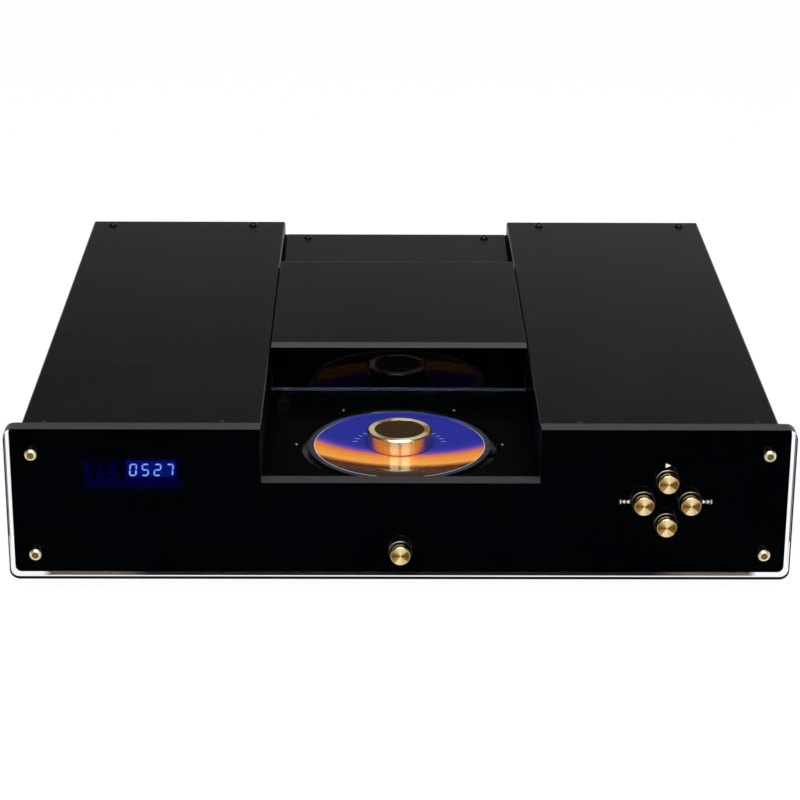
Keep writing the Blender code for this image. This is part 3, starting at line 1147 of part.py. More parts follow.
def make_outputs(shop):
    """Balanced, unbalanced and digital outputs on the rear panel."""
    make_xlr(shop, "balanced_output_left", XLR_XS[0])
    make_xlr(shop, "balanced_output_right", XLR_XS[1])
    wide, high = RCA_PLATE_WIDTH / 2, RCA_PLATE_HEIGHT / 2
    low = (RCA_X - wide, behind(FLANGE_FRONT), SOCKET_Z - high)
    top = (RCA_X + wide, behind(FLANGE_REAR), SOCKET_Z + high)
    plate = shop.block("line_output_sockets", low, top, "zinc_steel")
    turn = (-math.pi / 2, 0.0, 0.0)
    for up in (-1, 1):
        place = (RCA_X, behind(FLANGE_FRONT), SOCKET_Z + up * RCA_SPACING / 2)
        profile = socket_profile(RCA_SLEEVE_RADIUS, RCA_SLEEVE_RADIUS + SEAM_OVERLAP)
        join(plate, shop.turned(f"line_socket_{up}", profile, place, steps=TINY, turn=turn))
    profile = socket_profile(COAX_SLEEVE_RADIUS, COAX_NUT_RADIUS)
    place = (COAX_X, behind(FLANGE_FRONT), SOCKET_Z)
    shop.turned("digital_output", profile, place, "zinc_steel", steps=TINY, turn=turn)


def shade(collection):
    """Smooth shading on the turned pieces, with their sharp edges kept."""
    for obj in collection.objects:
        if obj.type == "MESH":
            obj.data.shade_smooth()
            obj.data.set_sharp_from_angle(angle=math.radians(30))


def main():
    """Build the whole player."""
    clear_scene()
    shop = Workshop()
    make_front_panel(shop)
    make_subplate(shop)
    make_base_pan(shop)
    make_side_cover(shop, "left_cover", -1)
    make_side_cover(shop, "right_cover", 1)
    make_rear_panel(shop)
    make_rear_cover(shop)
    make_well_tray(shop)
    make_lid_guide(shop)
    carry(make_lid_plate(shop), make_lid_fascia(shop), *make_runners(shop))
    make_feet(shop)
    make_face_screws(shop)
    make_cover_screws(shop)
    make_buttons(shop)
    make_turntable(shop)
    make_transport(shop)
    make_plate_fittings(shop)
    make_sled(shop)
    make_sled_drive(shop)
    make_display(shop)
    make_button_board(shop)
    make_boards(shop)
    make_transformer(shop)
    make_switches(shop)
    make_inlet(shop)
    make_outputs(shop)
    shade(shop.parts)


main()
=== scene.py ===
"""Looks of a top-loading disc player with a sliding lid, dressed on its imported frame.

Lengths are in metres. X runs to the right, Y to the back and Z up, as in the frame.
"""

import logging
import math
from dataclasses import dataclass, replace
from enum import Enum
from typing import Callable, Sequence

import bpy
import numpy as np
from mathutils import Matrix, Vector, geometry


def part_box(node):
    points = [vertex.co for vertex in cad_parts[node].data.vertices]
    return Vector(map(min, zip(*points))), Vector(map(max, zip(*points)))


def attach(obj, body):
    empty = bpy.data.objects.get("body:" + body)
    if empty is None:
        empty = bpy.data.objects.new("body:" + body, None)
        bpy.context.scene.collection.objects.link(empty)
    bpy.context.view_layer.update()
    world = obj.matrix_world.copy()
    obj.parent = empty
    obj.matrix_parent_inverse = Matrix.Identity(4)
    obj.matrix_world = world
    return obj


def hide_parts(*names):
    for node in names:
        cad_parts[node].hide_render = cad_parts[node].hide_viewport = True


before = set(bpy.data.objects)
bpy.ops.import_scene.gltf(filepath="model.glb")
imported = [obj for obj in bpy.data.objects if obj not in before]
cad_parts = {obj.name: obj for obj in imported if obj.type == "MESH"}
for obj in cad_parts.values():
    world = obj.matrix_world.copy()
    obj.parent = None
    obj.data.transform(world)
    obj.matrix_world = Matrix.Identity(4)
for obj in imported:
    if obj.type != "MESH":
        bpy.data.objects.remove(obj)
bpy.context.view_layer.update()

LOG = logging.getLogger("disc_player")
Colour = tuple[float, float, float]
Spot = tuple[float, float, float]

PANEL_FACE_Y = -0.2225
PANEL_REAR_Y = -0.2115
TOP_Z = 0.112
PANEL_BOTTOM_Z = 0.012
AXIS_Y = -0.1365


class Facing(Enum):
    """World directions of a flat drawing's across, up and outward axes."""

    TOP = ((1, 0, 0), (0, 1, 0), (0, 0, 1))
    UNDER = ((1, 0, 0), (0, -1, 0), (0, 0, -1))
    FRONT = ((1, 0, 0), (0, 0, 1), (0, -1, 0))
    REAR = ((-1, 0, 0), (0, 0, 1), (0, 1, 0))


@dataclass(frozen=True)
class Line:
    """Plane line with the outward normal at each point, which is the walk's direction turned right."""

    points: np.ndarray
    normals: np.ndarray

    @classmethod
    def through(cls, corners: Sequence[Spot], closed: bool = True, steps: int = 6) -> "Line":
        """Line through corners, each rounded by its own radius.

        An arc starts radius * tan(turn / 2) before its corner and turns evenly into the next edge.

        Args:
            corners: across, up and rounding radius of each corner, in walking order.
            closed: joins the last corner to the first.
            steps: points on each arc.

        Returns:
            The line.
        """
        table = np.asarray(corners, float)
        spots, radii = table[:, :2], table[:, 2]
        ahead = np.roll(spots, -1, 0) - spots
        if not closed:
            ahead[-1] = ahead[-2]
        ahead = ahead / np.linalg.norm(ahead, axis=1)[:, None]
        before = np.roll(ahead, 1, 0)
        if not closed:
            before[0] = ahead[0]
        turn = np.arctan2(before[:, 0] * ahead[:, 1] - before[:, 1] * ahead[:, 0], (before * ahead).sum(1))
        bend = np.sign(turn) * radii
        start = spots - before * (radii * np.tan(np.abs(turn) / 2))[:, None]
        centre = start + bend[:, None] * np.stack([-before[:, 1], before[:, 0]], 1)
        angle = turn[:, None] * np.linspace(0, 1, steps)[None]
        right = np.stack([before[:, 1], -before[:, 0]], 1)[:, None]
        cos, sin = np.cos(angle), np.sin(angle)
        normals = np.stack([right[..., 0] * cos - right[..., 1] * sin, right[..., 0] * sin + right[..., 1] * cos], 2)
        points = centre[:, None] + bend[:, None, None] * normals
        return cls(points.reshape(-1, 2), normals.reshape(-1, 2))

    @classmethod
    def circle(cls, across: float, up: float, radius: float, steps: int = 48, hole: bool = False) -> "Line":
        """Circle about a point; a hole is walked clockwise, so that its normals point to its middle.

        Args:
            across: the middle's place across.
            up: the middle's place up.
            radius: the circle's radius.
            steps: points round.
            hole: walks it clockwise.

        Returns:
            The line.
        """
        angle = 2 * np.pi * np.arange(steps) / steps * (-1 if hole else 1)
        out = np.stack([np.cos(angle), np.sin(angle)], 1)
        return cls(np.array([across, up]) + radius * out, -out if hole else out)

    @classmethod
    def box(cls, low: tuple[float, float], high: tuple[float, float], radius: float, hole: bool = False) -> "Line":
        """Rectangle with rounded corners; a hole is walked clockwise.

        Args:
            low: across and up of the lower left corner.
            high: across and up of the upper right corner.
            radius: rounding of the corners.
            hole: walks it clockwise.

        Returns:
            The line.
        """
        (a, b), (c, d) = low, high
        corners = [(a, b, radius), (c, b, radius), (c, d, radius), (a, d, radius)]
        return cls.through(corners[::-1] if hole else corners)


@dataclass
class Surface:
    """Points and four-cornered faces, with a normal, a pattern place and a finish for each face's corners.

    A triangle repeats its last corner.
    """

    points: np.ndarray
    faces: np.ndarray
    normals: np.ndarray
    places: np.ndarray
    finish: np.ndarray

    @classmethod
    def woven(
        cls,
        points: np.ndarray,
        normals: np.ndarray,
        rows_close: bool = False,
        columns_close: bool = True,
        lengths: np.ndarray | None = None,
    ) -> "Surface":
        """Surface over a grid of points.

        Args:
            points: rows x columns x 3 places.
            normals: rows x columns x 3 outward directions.
            rows_close: joins the last row to the first.
            columns_close: joins the last column to the first.
            lengths: distance of each row along the pattern's second axis.

        Returns:
            The surface, its pattern running once round each row.
        """
        rows, columns = points.shape[:2]
        i, j = np.meshgrid(
            np.arange(rows if rows_close else rows - 1),
            np.arange(columns if columns_close else columns - 1),
            indexing="ij",
        )
        i, j = i.ravel(), j.ravel()
        corner_i = np.stack([i, i, i + 1, i + 1], 1)
        corner_j = np.stack([j, j + 1, j + 1, j], 1)
        if lengths is None:
            lengths = np.arange(rows, dtype=float)
        lengths = np.append(lengths, 2 * lengths[-1] - lengths[-2] if rows > 1 else 0.0)
        places = np.stack([corner_j / columns, lengths[corner_i]], 2)
        faces = (corner_i % rows) * columns + corner_j % columns
        flat = normals.reshape(-1, 3)
        return cls(points.reshape(-1, 3), faces, flat[faces], places, np.zeros(len(faces), int))

    @classmethod
    def capped(cls, lines: Sequence[np.ndarray], height: float, up: float) -> "Surface":
        """Flat face inside the first line and outside the others, at a height, looking up (1) or down (-1).

        Args:
            lines: points of the outer line and then of the holes.
            height: the face's height.
            up: 1 where it looks up, -1 where it looks down.

        Returns:
            The surface.
        """
        kept = [line[np.linalg.norm(line - np.roll(line, 1, 0), axis=1) > 1e-8] for line in lines]
        spots = np.concatenate(kept)
        tris = np.array(geometry.tessellate_polygon([[(*spot, 0.0) for spot in line.tolist()] for line in kept]))
        faces = np.concatenate([tris, tris[:, 2:]], 1)
        points = np.concatenate([spots, np.full((len(spots), 1), height)], 1)
        normals = np.zeros((len(faces), 4, 3))
        normals[..., 2] = up
        return cls(points, faces, normals, points[faces][..., :2].copy(), np.zeros(len(faces), int))

    @classmethod
    def joined(cls, parts: Sequence["Surface"]) -> "Surface":
        """Several surfaces as one.

        Args:
            parts: the surfaces.

        Returns:
            The surface.
        """
        starts = np.cumsum([0] + [len(part.points) for part in parts[:-1]])
        return cls(
            np.concatenate([part.points for part in parts]),
            np.concatenate([part.faces + start for part, start in zip(parts, starts)]),
            np.concatenate([part.normals for part in parts]),
            np.concatenate([part.places for part in parts]),
            np.concatenate([part.finish for part in parts]),
        )

    def placed(self, facing: Facing, origin: Spot = (0.0, 0.0, 0.0)) -> "Surface":
        """The surface with its across, up and outward axes along a facing's world directions, moved to an origin."""
        turn = np.array(facing.value, float)
        return Surface(
            self.points @ turn + np.array(origin), self.faces, self.normals @ turn, self.places, self.finish
        )

    def finished(self, index: int) -> "Surface":
        """The surface with every face given one finish of the piece's list."""
        return Surface(self.points, self.faces, self.normals, self.places, np.full(len(self.faces), index))

    def facets(self, chosen: np.ndarray) -> "Surface":
        """The surface with the chosen faces shaded flat, each from the cross product of its diagonals.

        Args:
            chosen: which faces are shaded flat.

        Returns:
            The surface itself.
        """
        corner = self.points[self.faces]
        across = np.cross(corner[:, 2] - corner[:, 0], corner[:, 3] - corner[:, 1])
        size = np.linalg.norm(across, axis=1)
        chosen = chosen & (size > 1e-14)
        flat = across[chosen] / size[chosen][:, None]
        flat *= np.sign((flat * self.normals[chosen].sum(1)).sum(1) + 1e-12)[:, None]
        self.normals[chosen] = flat[:, None]
        return self

    def mesh(self, name: str) -> bpy.types.Mesh:
        """Mesh with merged points, faces turned outwards, corner normals and the pattern's map.

        Args:
            name: the mesh's name.

        Returns:
            The mesh.
        """
        _, first, index = np.unique(
            np.round(self.points * 1e7).astype(np.int64), axis=0, return_index=True, return_inverse=True
        )
        points, faces = self.points[first], index.reshape(-1)[self.faces]
        corner = points[faces]
        across = np.cross(corner[:, 2] - corner[:, 0], corner[:, 3] - corner[:, 1])
        flip = (across * self.normals.sum(1)).sum(1) < 0
        normals, places = self.normals.copy(), self.places.copy()
        for table in (faces, normals, places):
            table[flip] = table[flip][:, ::-1]
        keep = faces != np.roll(faces, 1, 1)
        count = keep.sum(1)
        polygons, loops, maps, finishes = [], [], [], []
        for size in (4, 3):
            rows = count == size
            mask = keep[rows]
            polygons += faces[rows][mask].reshape(-1, size).tolist()
            loops.append(normals[rows][mask])
            maps.append(places[rows][mask])
            finishes.append(self.finish[rows])
        mesh = bpy.data.meshes.new(name)
        mesh.from_pydata(points.tolist(), [], polygons)
        mesh.uv_layers.new(name="pattern").data.foreach_set("uv", np.concatenate(maps).astype(np.float32).ravel())
        mesh.polygons.foreach_set("material_index", np.concatenate(finishes).astype(np.int32))
        mesh.polygons.foreach_set("use_smooth", np.ones(len(polygons), bool))
        mesh.normals_split_custom_set(np.concatenate(loops).tolist())
        mesh.update()
        return mesh


def turned(
    line: Line,
    facing: Facing = Facing.TOP,
    origin: Spot = (0.0, 0.0, 0.0),
    steps: int = 64,
    ring: bool = False,
    hexed: np.ndarray | None = None,
    strips: Sequence[int] | None = None,
) -> Surface:
    """Surface of revolution: each point of the line goes round as (r cos a, r sin a, h).

    Args:
        line: radius and height of the outline, walked so that the solid lies to its left.
        facing: the direction of the axis is the facing's outward one.
        origin: the place of height 0 on the axis.
        steps: points round.
        ring: the line is closed and doesn't meet the axis.
        hexed: share of a hexagon in each point's circle, from 0 to 1.
        strips: finish of the strip that follows each corner of the line.

    Returns:
        The surface, with the line's length as its pattern's second axis.
    """
    angle = 2 * np.pi * np.arange(steps) / steps
    radius = line.points[:, :1] * np.ones(steps)
    if hexed is not None:
        six = np.cos(np.pi / 6) / np.cos(np.mod(angle, np.pi / 3) - np.pi / 6)
        radius = radius * (1 + hexed[:, None] * (six[None] - 1))
    height = line.points[:, 1:] * np.ones(steps)
    points = np.stack([radius * np.cos(angle), radius * np.sin(angle), height], 2)
    out, up = line.normals[:, :1], line.normals[:, 1:]
    normals = np.stack([out * np.cos(angle), out * np.sin(angle), up * np.ones(steps)], 2)
    lengths = np.concatenate([[0.0], np.cumsum(np.linalg.norm(np.diff(line.points, axis=0), axis=1))])
    surface = Surface.woven(points, normals, rows_close=ring, lengths=lengths)
    if hexed is not None:
        surface.facets((hexed[surface.faces // steps] > 0.5).all(1))
    if strips is not None:
        rows = np.repeat(strips, len(line.points) // len(strips))
        surface.finish = np.repeat(rows if ring else rows[:-1], steps)
    return surface.placed(facing, origin)


def plate(
    lines: Sequence[Line],
    low: float,
    high: float,
    edge: float = 0.0,
    facing: Facing = Facing.TOP,
    steps: int = 5,
) -> Surface:
    """Plate with rounded edges and holes.

    A quarter arc at each edge goes in by edge * (1 - sin a) as it drops by edge * (1 - cos a), and is
    carried along every line; the faces are the areas between the lines' inner offsets.

    Args:
        lines: the outer line and then the holes.
        low: height of the under face.
        high: height of the upper face.
        edge: rounding of the edges.
        facing: the plate's outward direction.
        steps: points on each quarter arc.

    Returns:
        The surface, with its flat faces numbered 0, its outer edge 1 and its holes' edges 2.
    """
    quarter = np.linspace(0, np.pi / 2, steps)
    inset = edge * (1 - np.concatenate([np.sin(quarter), np.sin(quarter[::-1])]))
    rise = edge * (1 - np.cos(quarter))
    height = np.concatenate([low + rise, high - rise[::-1]])
    out = np.concatenate([np.sin(quarter), np.sin(quarter[::-1])])
    up = np.concatenate([-np.cos(quarter), np.cos(quarter[::-1])])
    parts = []
    for tag, line in enumerate(lines):
        flat = line.points[None] - line.normals[None] * inset[:, None, None]
        points = np.concatenate([flat, np.broadcast_to(height[:, None, None], (*flat.shape[:2], 1))], 2)
        normals = np.concatenate(
            [line.normals[None] * out[:, None, None], np.broadcast_to(up[:, None, None], (*flat.shape[:2], 1))], 2
        )
        parts.append(Surface.woven(points, normals).finished(1 if tag == 0 else 2))
    inner = [line.points - line.normals * edge for line in lines]
    parts += [Surface.capped(inner, low, -1.0), Surface.capped(inner, high, 1.0)]
    return Surface.joined(parts).placed(facing)


class Nodes:
    """Adds nodes to one tree; an input given a socket is linked, and one given a value is set."""

    def __init__(self, tree: bpy.types.NodeTree) -> None:
        """Keeps the tree."""
        self.tree = tree

    def add(self, kind: str, inputs: dict | None = None, **settings: object) -> bpy.types.Node:
        """Adds one node.

        Args:
            kind: the node's type after ShaderNode.
            inputs: value or socket for each input, by name or number.
            settings: properties of the node itself.

        Returns:
            The node.
        """
        node = self.tree.nodes.new("ShaderNode" + kind)
        for key, value in settings.items():
            setattr(node, key, value)
        return self.fill(node, inputs or {})

    def fill(self, node: bpy.types.Node, inputs: dict) -> bpy.types.Node:
        """Links or sets a node's inputs.

        Args:
            node: the node.
            inputs: value or socket for each input, by name or number.

        Returns:
            The node.
        """
        for key, value in inputs.items():
            if isinstance(value, bpy.types.NodeSocket):
                self.tree.links.new(value, node.inputs[key])
            else:
                node.inputs[key].default_value = value
        return node

    def math(self, operation: str, *values: object) -> bpy.types.NodeSocket:
        """Result of a Math node on up to three values."""
        return self.add("Math", dict(enumerate(values)), operation=operation).outputs[0]

    def step(
        self, value: object, low: float, high: float, to_low: float = 0.0, to_high: float = 1.0
    ) -> bpy.types.NodeSocket:
        """A value carried smoothly from one range to another."""
        inputs = {"Value": value, "From Min": low, "From Max": high, "To Min": to_low, "To Max": to_high}
        return self.add("MapRange", inputs, interpolation_type="SMOOTHSTEP").outputs["Result"]

    def blend(self, share: object, first: object, second: object) -> bpy.types.NodeSocket:
        """Mix of two colours."""
        first, second = ((*value, 1.0) if isinstance(value, tuple) else value for value in (first, second))
        return self.add("Mix", {0: share, 6: first, 7: second}, data_type="RGBA").outputs[2]

    def ramp(self, value: object, stops: Sequence[tuple[float, Colour]]) -> bpy.types.NodeSocket:
        """Colour from a ramp with a stop at each position.

        Args:
            value: what the ramp reads.
            stops: position and colour of each stop, in order.

        Returns:
            The colour.
        """
        node = self.add("ValToRGB", {"Fac": value})
        elements = node.color_ramp.elements
        for index, (position, colour) in enumerate(stops):
            element = elements[index] if index < 2 else elements.new(position)
            element.position, element.color = position, (*colour, 1.0)
        return node.outputs["Color"]

    def spread(self, value: object, low: float, high: float) -> bpy.types.NodeSocket:
        """A value carried evenly from a range to 0 to 1."""
        return self.add("MapRange", {"Value": value, "From Min": low, "From Max": high}).outputs["Result"]

    def where(self) -> bpy.types.NodeSocket:
        """Object coordinates."""
        return self.add("TexCoord").outputs["Object"]

    def mapped(self, vector: object, **settings: Spot) -> bpy.types.NodeSocket:
        """A place moved or stretched."""
        return self.add("Mapping", {"Vector": vector, **settings}).outputs[0]

    def axes(self, vector: object) -> tuple[bpy.types.NodeSocket, ...]:
        """The three parts of a vector."""
        return tuple(self.add("SeparateXYZ", {0: vector}).outputs)

    def pattern(self) -> tuple[bpy.types.NodeSocket, ...]:
        """Share of the turn and length along the surface, from the piece's own map."""
        return self.axes(self.add("UVMap", uv_map="pattern").outputs[0])

    def length(self, x: object, y: object) -> bpy.types.NodeSocket:
        """The square root of x * x + y * y."""
        return self.math("SQRT", self.math("ADD", self.math("MULTIPLY", x, x), self.math("MULTIPLY", y, y)))

    def noise(self, vector: object, scale: object, detail: float = 2.0, rough: float = 0.5) -> bpy.types.NodeSocket:
        """Soft noise at a place."""
        inputs = {"Vector": vector, "Scale": scale, "Detail": detail, "Roughness": rough}
        return self.add("TexNoise", inputs).outputs[0]

    def group(self, tree: bpy.types.NodeTree, **inputs: float) -> bpy.types.NodeOutputs:
        """Outputs of a node group placed with its own values."""
        return self.add("Group", inputs, node_tree=tree).outputs

    def bump(self, height: object, strength: float, distance: float) -> bpy.types.NodeSocket:
        """Normal of a surface lifted by a height."""
        return self.add("Bump", {"Strength": strength, "Distance": distance, "Height": height}).outputs[0]

    def drawn(self, amount: float) -> dict:
        """Shader inputs of a shine drawn out across turned rings."""
        tangent = self.add("Tangent", direction_type="UV_MAP", uv_map="pattern").outputs[0]
        return {"Anisotropic": amount, "Anisotropic Rotation": 0.25, "Tangent": tangent}

    def lit(self, colour: object, strength: float, noise: object) -> dict:
        """Shader inputs of a lit part: its light, and a dark dull face whose roughness follows a noise.

        Args:
            colour: colour of the light.
            strength: strength of the light.
            noise: what the roughness follows.

        Returns:
            Value or socket for each input.
        """
        return {
            "Emission Color": colour,
            "Emission Strength": strength,
            "Base Color": (0.0003, 0.0003, 0.001, 1.0),
            "Specular IOR Level": 0.0,
            "Roughness": self.step(noise, 0.3, 0.7, 0.25, 0.35),
        }


def effect(
    name: str, inputs: dict[str, float], outputs: Sequence[str], draw: Callable[[Nodes, dict], dict]
) -> bpy.types.NodeTree:
    """Shader node group of that name, made once.

    Args:
        name: the group's name.
        inputs: the number each input starts at; the group reads Object coordinates or the pattern's map itself.
        outputs: names of the values it gives.
        draw: draws the nodes, from the inputs' sockets to the outputs' sockets.

    Returns:
        The group.
    """
    if name in bpy.data.node_groups:
        return bpy.data.node_groups[name]
    tree = bpy.data.node_groups.new(name, "ShaderNodeTree")
    for key, value in inputs.items():
        tree.interface.new_socket(key, in_out="INPUT", socket_type="NodeSocketFloat").default_value = value
    for key in outputs:
        tree.interface.new_socket(key, in_out="OUTPUT", socket_type="NodeSocketFloat")
    nodes = Nodes(tree)
    start, end = tree.nodes.new("NodeGroupInput"), tree.nodes.new("NodeGroupOutput")
    for key, socket in draw(nodes, {key: start.outputs[key] for key in inputs}).items():
        tree.links.new(socket, end.inputs[key])
    return tree


def grain() -> bpy.types.NodeTree:
    """Group: the fine orange-peel of a coat or moulding; Height of the surface and Tone of the colour.

    Returns:
        The group.
    """

    def draw(nodes: Nodes, given: dict) -> dict:
        """Fine noise lifts the surface; fine and broad noise together make the tone.

        Args:
            nodes: adds nodes to the material's or the group's tree.
            given: sockets of the group's inputs, by name.

        Returns:
            The socket for each of the group's outputs.
        """
        where = nodes.where()
        fine = nodes.noise(where, given["Size"], 2.0, 0.6)
        broad = nodes.noise(where, nodes.math("DIVIDE", given["Size"], 9.0))
        tone = nodes.math("ADD", nodes.math("MULTIPLY", fine, 0.7), nodes.math("MULTIPLY", broad, 0.3))
        return {"Height": fine, "Tone": nodes.step(tone, 0.36, 0.64)}

    return effect("grain", {"Size": 1500.0}, ("Height", "Tone"), draw)


def handling() -> bpy.types.NodeTree:
    """Group: the broad uneven shine that wiping leaves; Marks from 0 to 1.

    Returns:
        The group.
    """

    def draw(nodes: Nodes, given: dict) -> dict:
        """Clouded noise makes the marks."""
        return {"Marks": nodes.step(nodes.noise(nodes.where(), given["Size"], 4.0, 0.65), 0.40, 0.75)}

    return effect("handling", {"Size": 12.0}, ("Marks",), draw)


def turning() -> bpy.types.NodeTree:
    """Group: the fine rings a lathe leaves, along the pattern's second axis; Height and Tone.

    Returns:
        The group.
    """

    def draw(nodes: Nodes, given: dict) -> dict:
        """Noise along the rings, bent round a circle so that it meets itself.

        Args:
            nodes: adds nodes to the material's or the group's tree.
            given: sockets of the group's inputs, by name.

        Returns:
            The socket for each of the group's outputs.
        """
        share, length, _ = nodes.pattern()
        turn = nodes.math("MULTIPLY", share, math.tau)
        bent = {
            axis: nodes.math("MULTIPLY", nodes.math(way, turn), 0.3) for axis, way in (("Y", "COSINE"), ("Z", "SINE"))
        }
        bent["X"] = nodes.math("MULTIPLY", length, given["Rings"])
        noise = nodes.noise(nodes.add("CombineXYZ", bent).outputs[0], 1.0, 3.0, 0.7)
        return {"Height": noise, "Tone": nodes.step(noise, 0.35, 0.65)}

    return effect("turning", {"Rings": 9000.0}, ("Height", "Tone"), draw)


def fan() -> bpy.types.NodeTree:
    """Group: a painted highlight, the bright fan that turning would draw up and down from a flat face's middle; Share
    from 0 to 1.

    Returns:
        The group.
    """

    def draw(nodes: Nodes, given: dict) -> dict:
        """The size of sin(turn * lobes), streaked by noise round the turn.

        Args:
            nodes: adds nodes to the material's or the group's tree.
            given: sockets of the group's inputs, by name.

        Returns:
            The socket for each of the group's outputs.
        """
        turn = nodes.math("MULTIPLY", nodes.pattern()[0], math.tau)
        around = {
            axis: nodes.math("MULTIPLY", nodes.math(way, turn), given["Streaks"])
            for axis, way in (("X", "COSINE"), ("Y", "SINE"))
        }
        noise = nodes.noise(nodes.add("CombineXYZ", around).outputs[0], 1.0, 2.0, 0.6)
        lobes = nodes.math("ABSOLUTE", nodes.math("SINE", nodes.math("MULTIPLY", turn, given["Lobes"])))
        return {"Share": nodes.step(nodes.math("MULTIPLY_ADD", noise, 1.3, lobes), 0.75, 1.75)}

    return effect("fan", {"Streaks": 3.0, "Lobes": 1.0}, ("Share",), draw)


@dataclass(frozen=True)
class Finish:
    """A finish: its material is made once and shared by the pieces that have it."""

    name: str

    def material(self) -> bpy.types.Material:
        """The finish's material.

        Returns:
            The material.
        """
        found = bpy.data.materials.get(self.name)
        if found is not None and found.get("made_here"):
            return found
        made = bpy.data.materials.new(self.name)
        made.name, made["made_here"] = self.name, True
        made.use_nodes = True
        nodes = Nodes(made.node_tree)
        nodes.fill(made.node_tree.nodes["Principled BSDF"], self.dress(nodes))
        return made

    def dress(self, nodes: Nodes) -> dict:
        """Values and sockets for the shader's inputs."""
        raise NotImplementedError


@dataclass(frozen=True)
class Grained(Finish):
    """Coated, moulded or rubbed solid with a fine grain."""

    colour: Colour = (0.03, 0.03, 0.03)
    lighter: Colour = (0.05, 0.05, 0.05)
    roughness: float = 0.5
    shine_spread: float = 0.08
    grain_size: float = 1500.0
    grain_depth: float = 0.00004
    strength: float = 0.4
    metallic: float = 0.0
    specular: float = 0.5

    def dress(self, nodes: Nodes) -> dict:
        """Grain lifts the surface and lightens its colour; handling marks spread the shine.

        Args:
            nodes: adds nodes to the material's or the group's tree.

        Returns:
            Value or socket for each of the shader's inputs that the finish sets.
        """
        peel = nodes.group(grain(), Size=self.grain_size)
        marks = nodes.group(handling())["Marks"]
        return {
            "Base Color": nodes.blend(peel["Tone"], self.colour, self.lighter),
            "Roughness": nodes.math("MULTIPLY_ADD", marks, self.shine_spread, self.roughness),
            "Normal": nodes.bump(peel["Height"], self.strength, self.grain_depth),
            "Metallic": self.metallic,
            "Specular IOR Level": self.specular,
        }


@dataclass(frozen=True)
class Spun(Finish):
    """Metal turned on a lathe, its shine drawn out across the fine rings."""

    colour: Colour
    darker: Colour
    roughness: float
    drawn_out: float
    rings: float
    ring_depth: float

    def dress(self, nodes: Nodes) -> dict:
        """Rings vary colour, roughness and height.

        Args:
            nodes: adds nodes to the material's or the group's tree.

        Returns:
            Value or socket for each of the shader's inputs that the finish sets.
        """
        rings = nodes.group(turning(), Rings=self.rings)
        wiped = nodes.math("MULTIPLY_ADD", nodes.group(handling())["Marks"], 0.04, self.roughness)
        return {
            "Base Color": nodes.blend(rings["Tone"], self.darker, self.colour),
            "Roughness": nodes.math("MULTIPLY_ADD", rings["Tone"], -0.05, wiped),
            "Normal": nodes.bump(rings["Height"], 0.5, self.ring_depth),
            **nodes.drawn(self.drawn_out),
            "Metallic": 1.0,
        }


@dataclass(frozen=True)
class PaintedFanHighlight(Finish):
    """Flat face turned on a lathe: dark, middle and bright metal laid out as a painted highlight, the fan of its
    turning marks.
    """

    dark: Colour = (0.13, 0.06, 0.008)
    middle: Colour = (0.42, 0.26, 0.075)
    bright: Colour = (0.86, 0.71, 0.42)
    middle_at: float = 0.62
    streaks: float = 5.0
    lobes: float = 1.0
    roughness: float = 0.24
    metallic: float = 1.0

    def dress(self, nodes: Nodes) -> dict:
        """The painted fan highlight picks the colour; fine rings vary the shine.

        Args:
            nodes: adds nodes to the material's or the group's tree.

        Returns:
            Value or socket for each of the shader's inputs that the finish sets.
        """
        share = nodes.group(fan(), Streaks=self.streaks, Lobes=self.lobes)["Share"]
        rings = nodes.group(turning())
        return {
            "Base Color": nodes.ramp(share, [(0.0, self.dark), (self.middle_at, self.middle), (1.0, self.bright)]),
            "Roughness": nodes.math("MULTIPLY_ADD", rings["Tone"], 0.06, self.roughness),
            "Normal": nodes.bump(rings["Height"], 0.4, 0.0000006),
            **nodes.drawn(0.5),
            "Metallic": self.metallic,
        }


@dataclass(frozen=True)
class Polished(Finish):
    """Polished or plated metal with faint rubbed marks."""

    colour: Colour = (0.80, 0.62, 0.30)
    darker: Colour = (0.70, 0.50, 0.20)
    roughness: float = 0.07

    def dress(self, nodes: Nodes) -> dict:
        """Handling marks dull the shine and deepen the colour.

        Args:
            nodes: adds nodes to the material's or the group's tree.

        Returns:
            Value or socket for each of the shader's inputs that the finish sets.
        """
        marks = nodes.group(handling(), Size=90.0)["Marks"]
        rough = nodes.math("MULTIPLY_ADD", marks, 0.05, self.roughness)
        return {"Base Color": nodes.blend(marks, self.colour, self.darker), "Roughness": rough, "Metallic": 1.0}


@dataclass(frozen=True)
class Clear(Finish):
    """Clear acrylic or polycarbonate, with faint marks of wiping."""

    tint: Colour
    index: float

    def dress(self, nodes: Nodes) -> dict:
        """Handling marks shade the tint a little.

        Args:
            nodes: adds nodes to the material's or the group's tree.

        Returns:
            Value or socket for each of the shader's inputs that the finish sets.
        """
        dim = tuple(0.985 * part for part in self.tint)
        colour = nodes.blend(nodes.group(handling())["Marks"], self.tint, dim)
        return {"Base Color": colour, "Transmission Weight": 1.0, "IOR": self.index, "Roughness": 0.0}


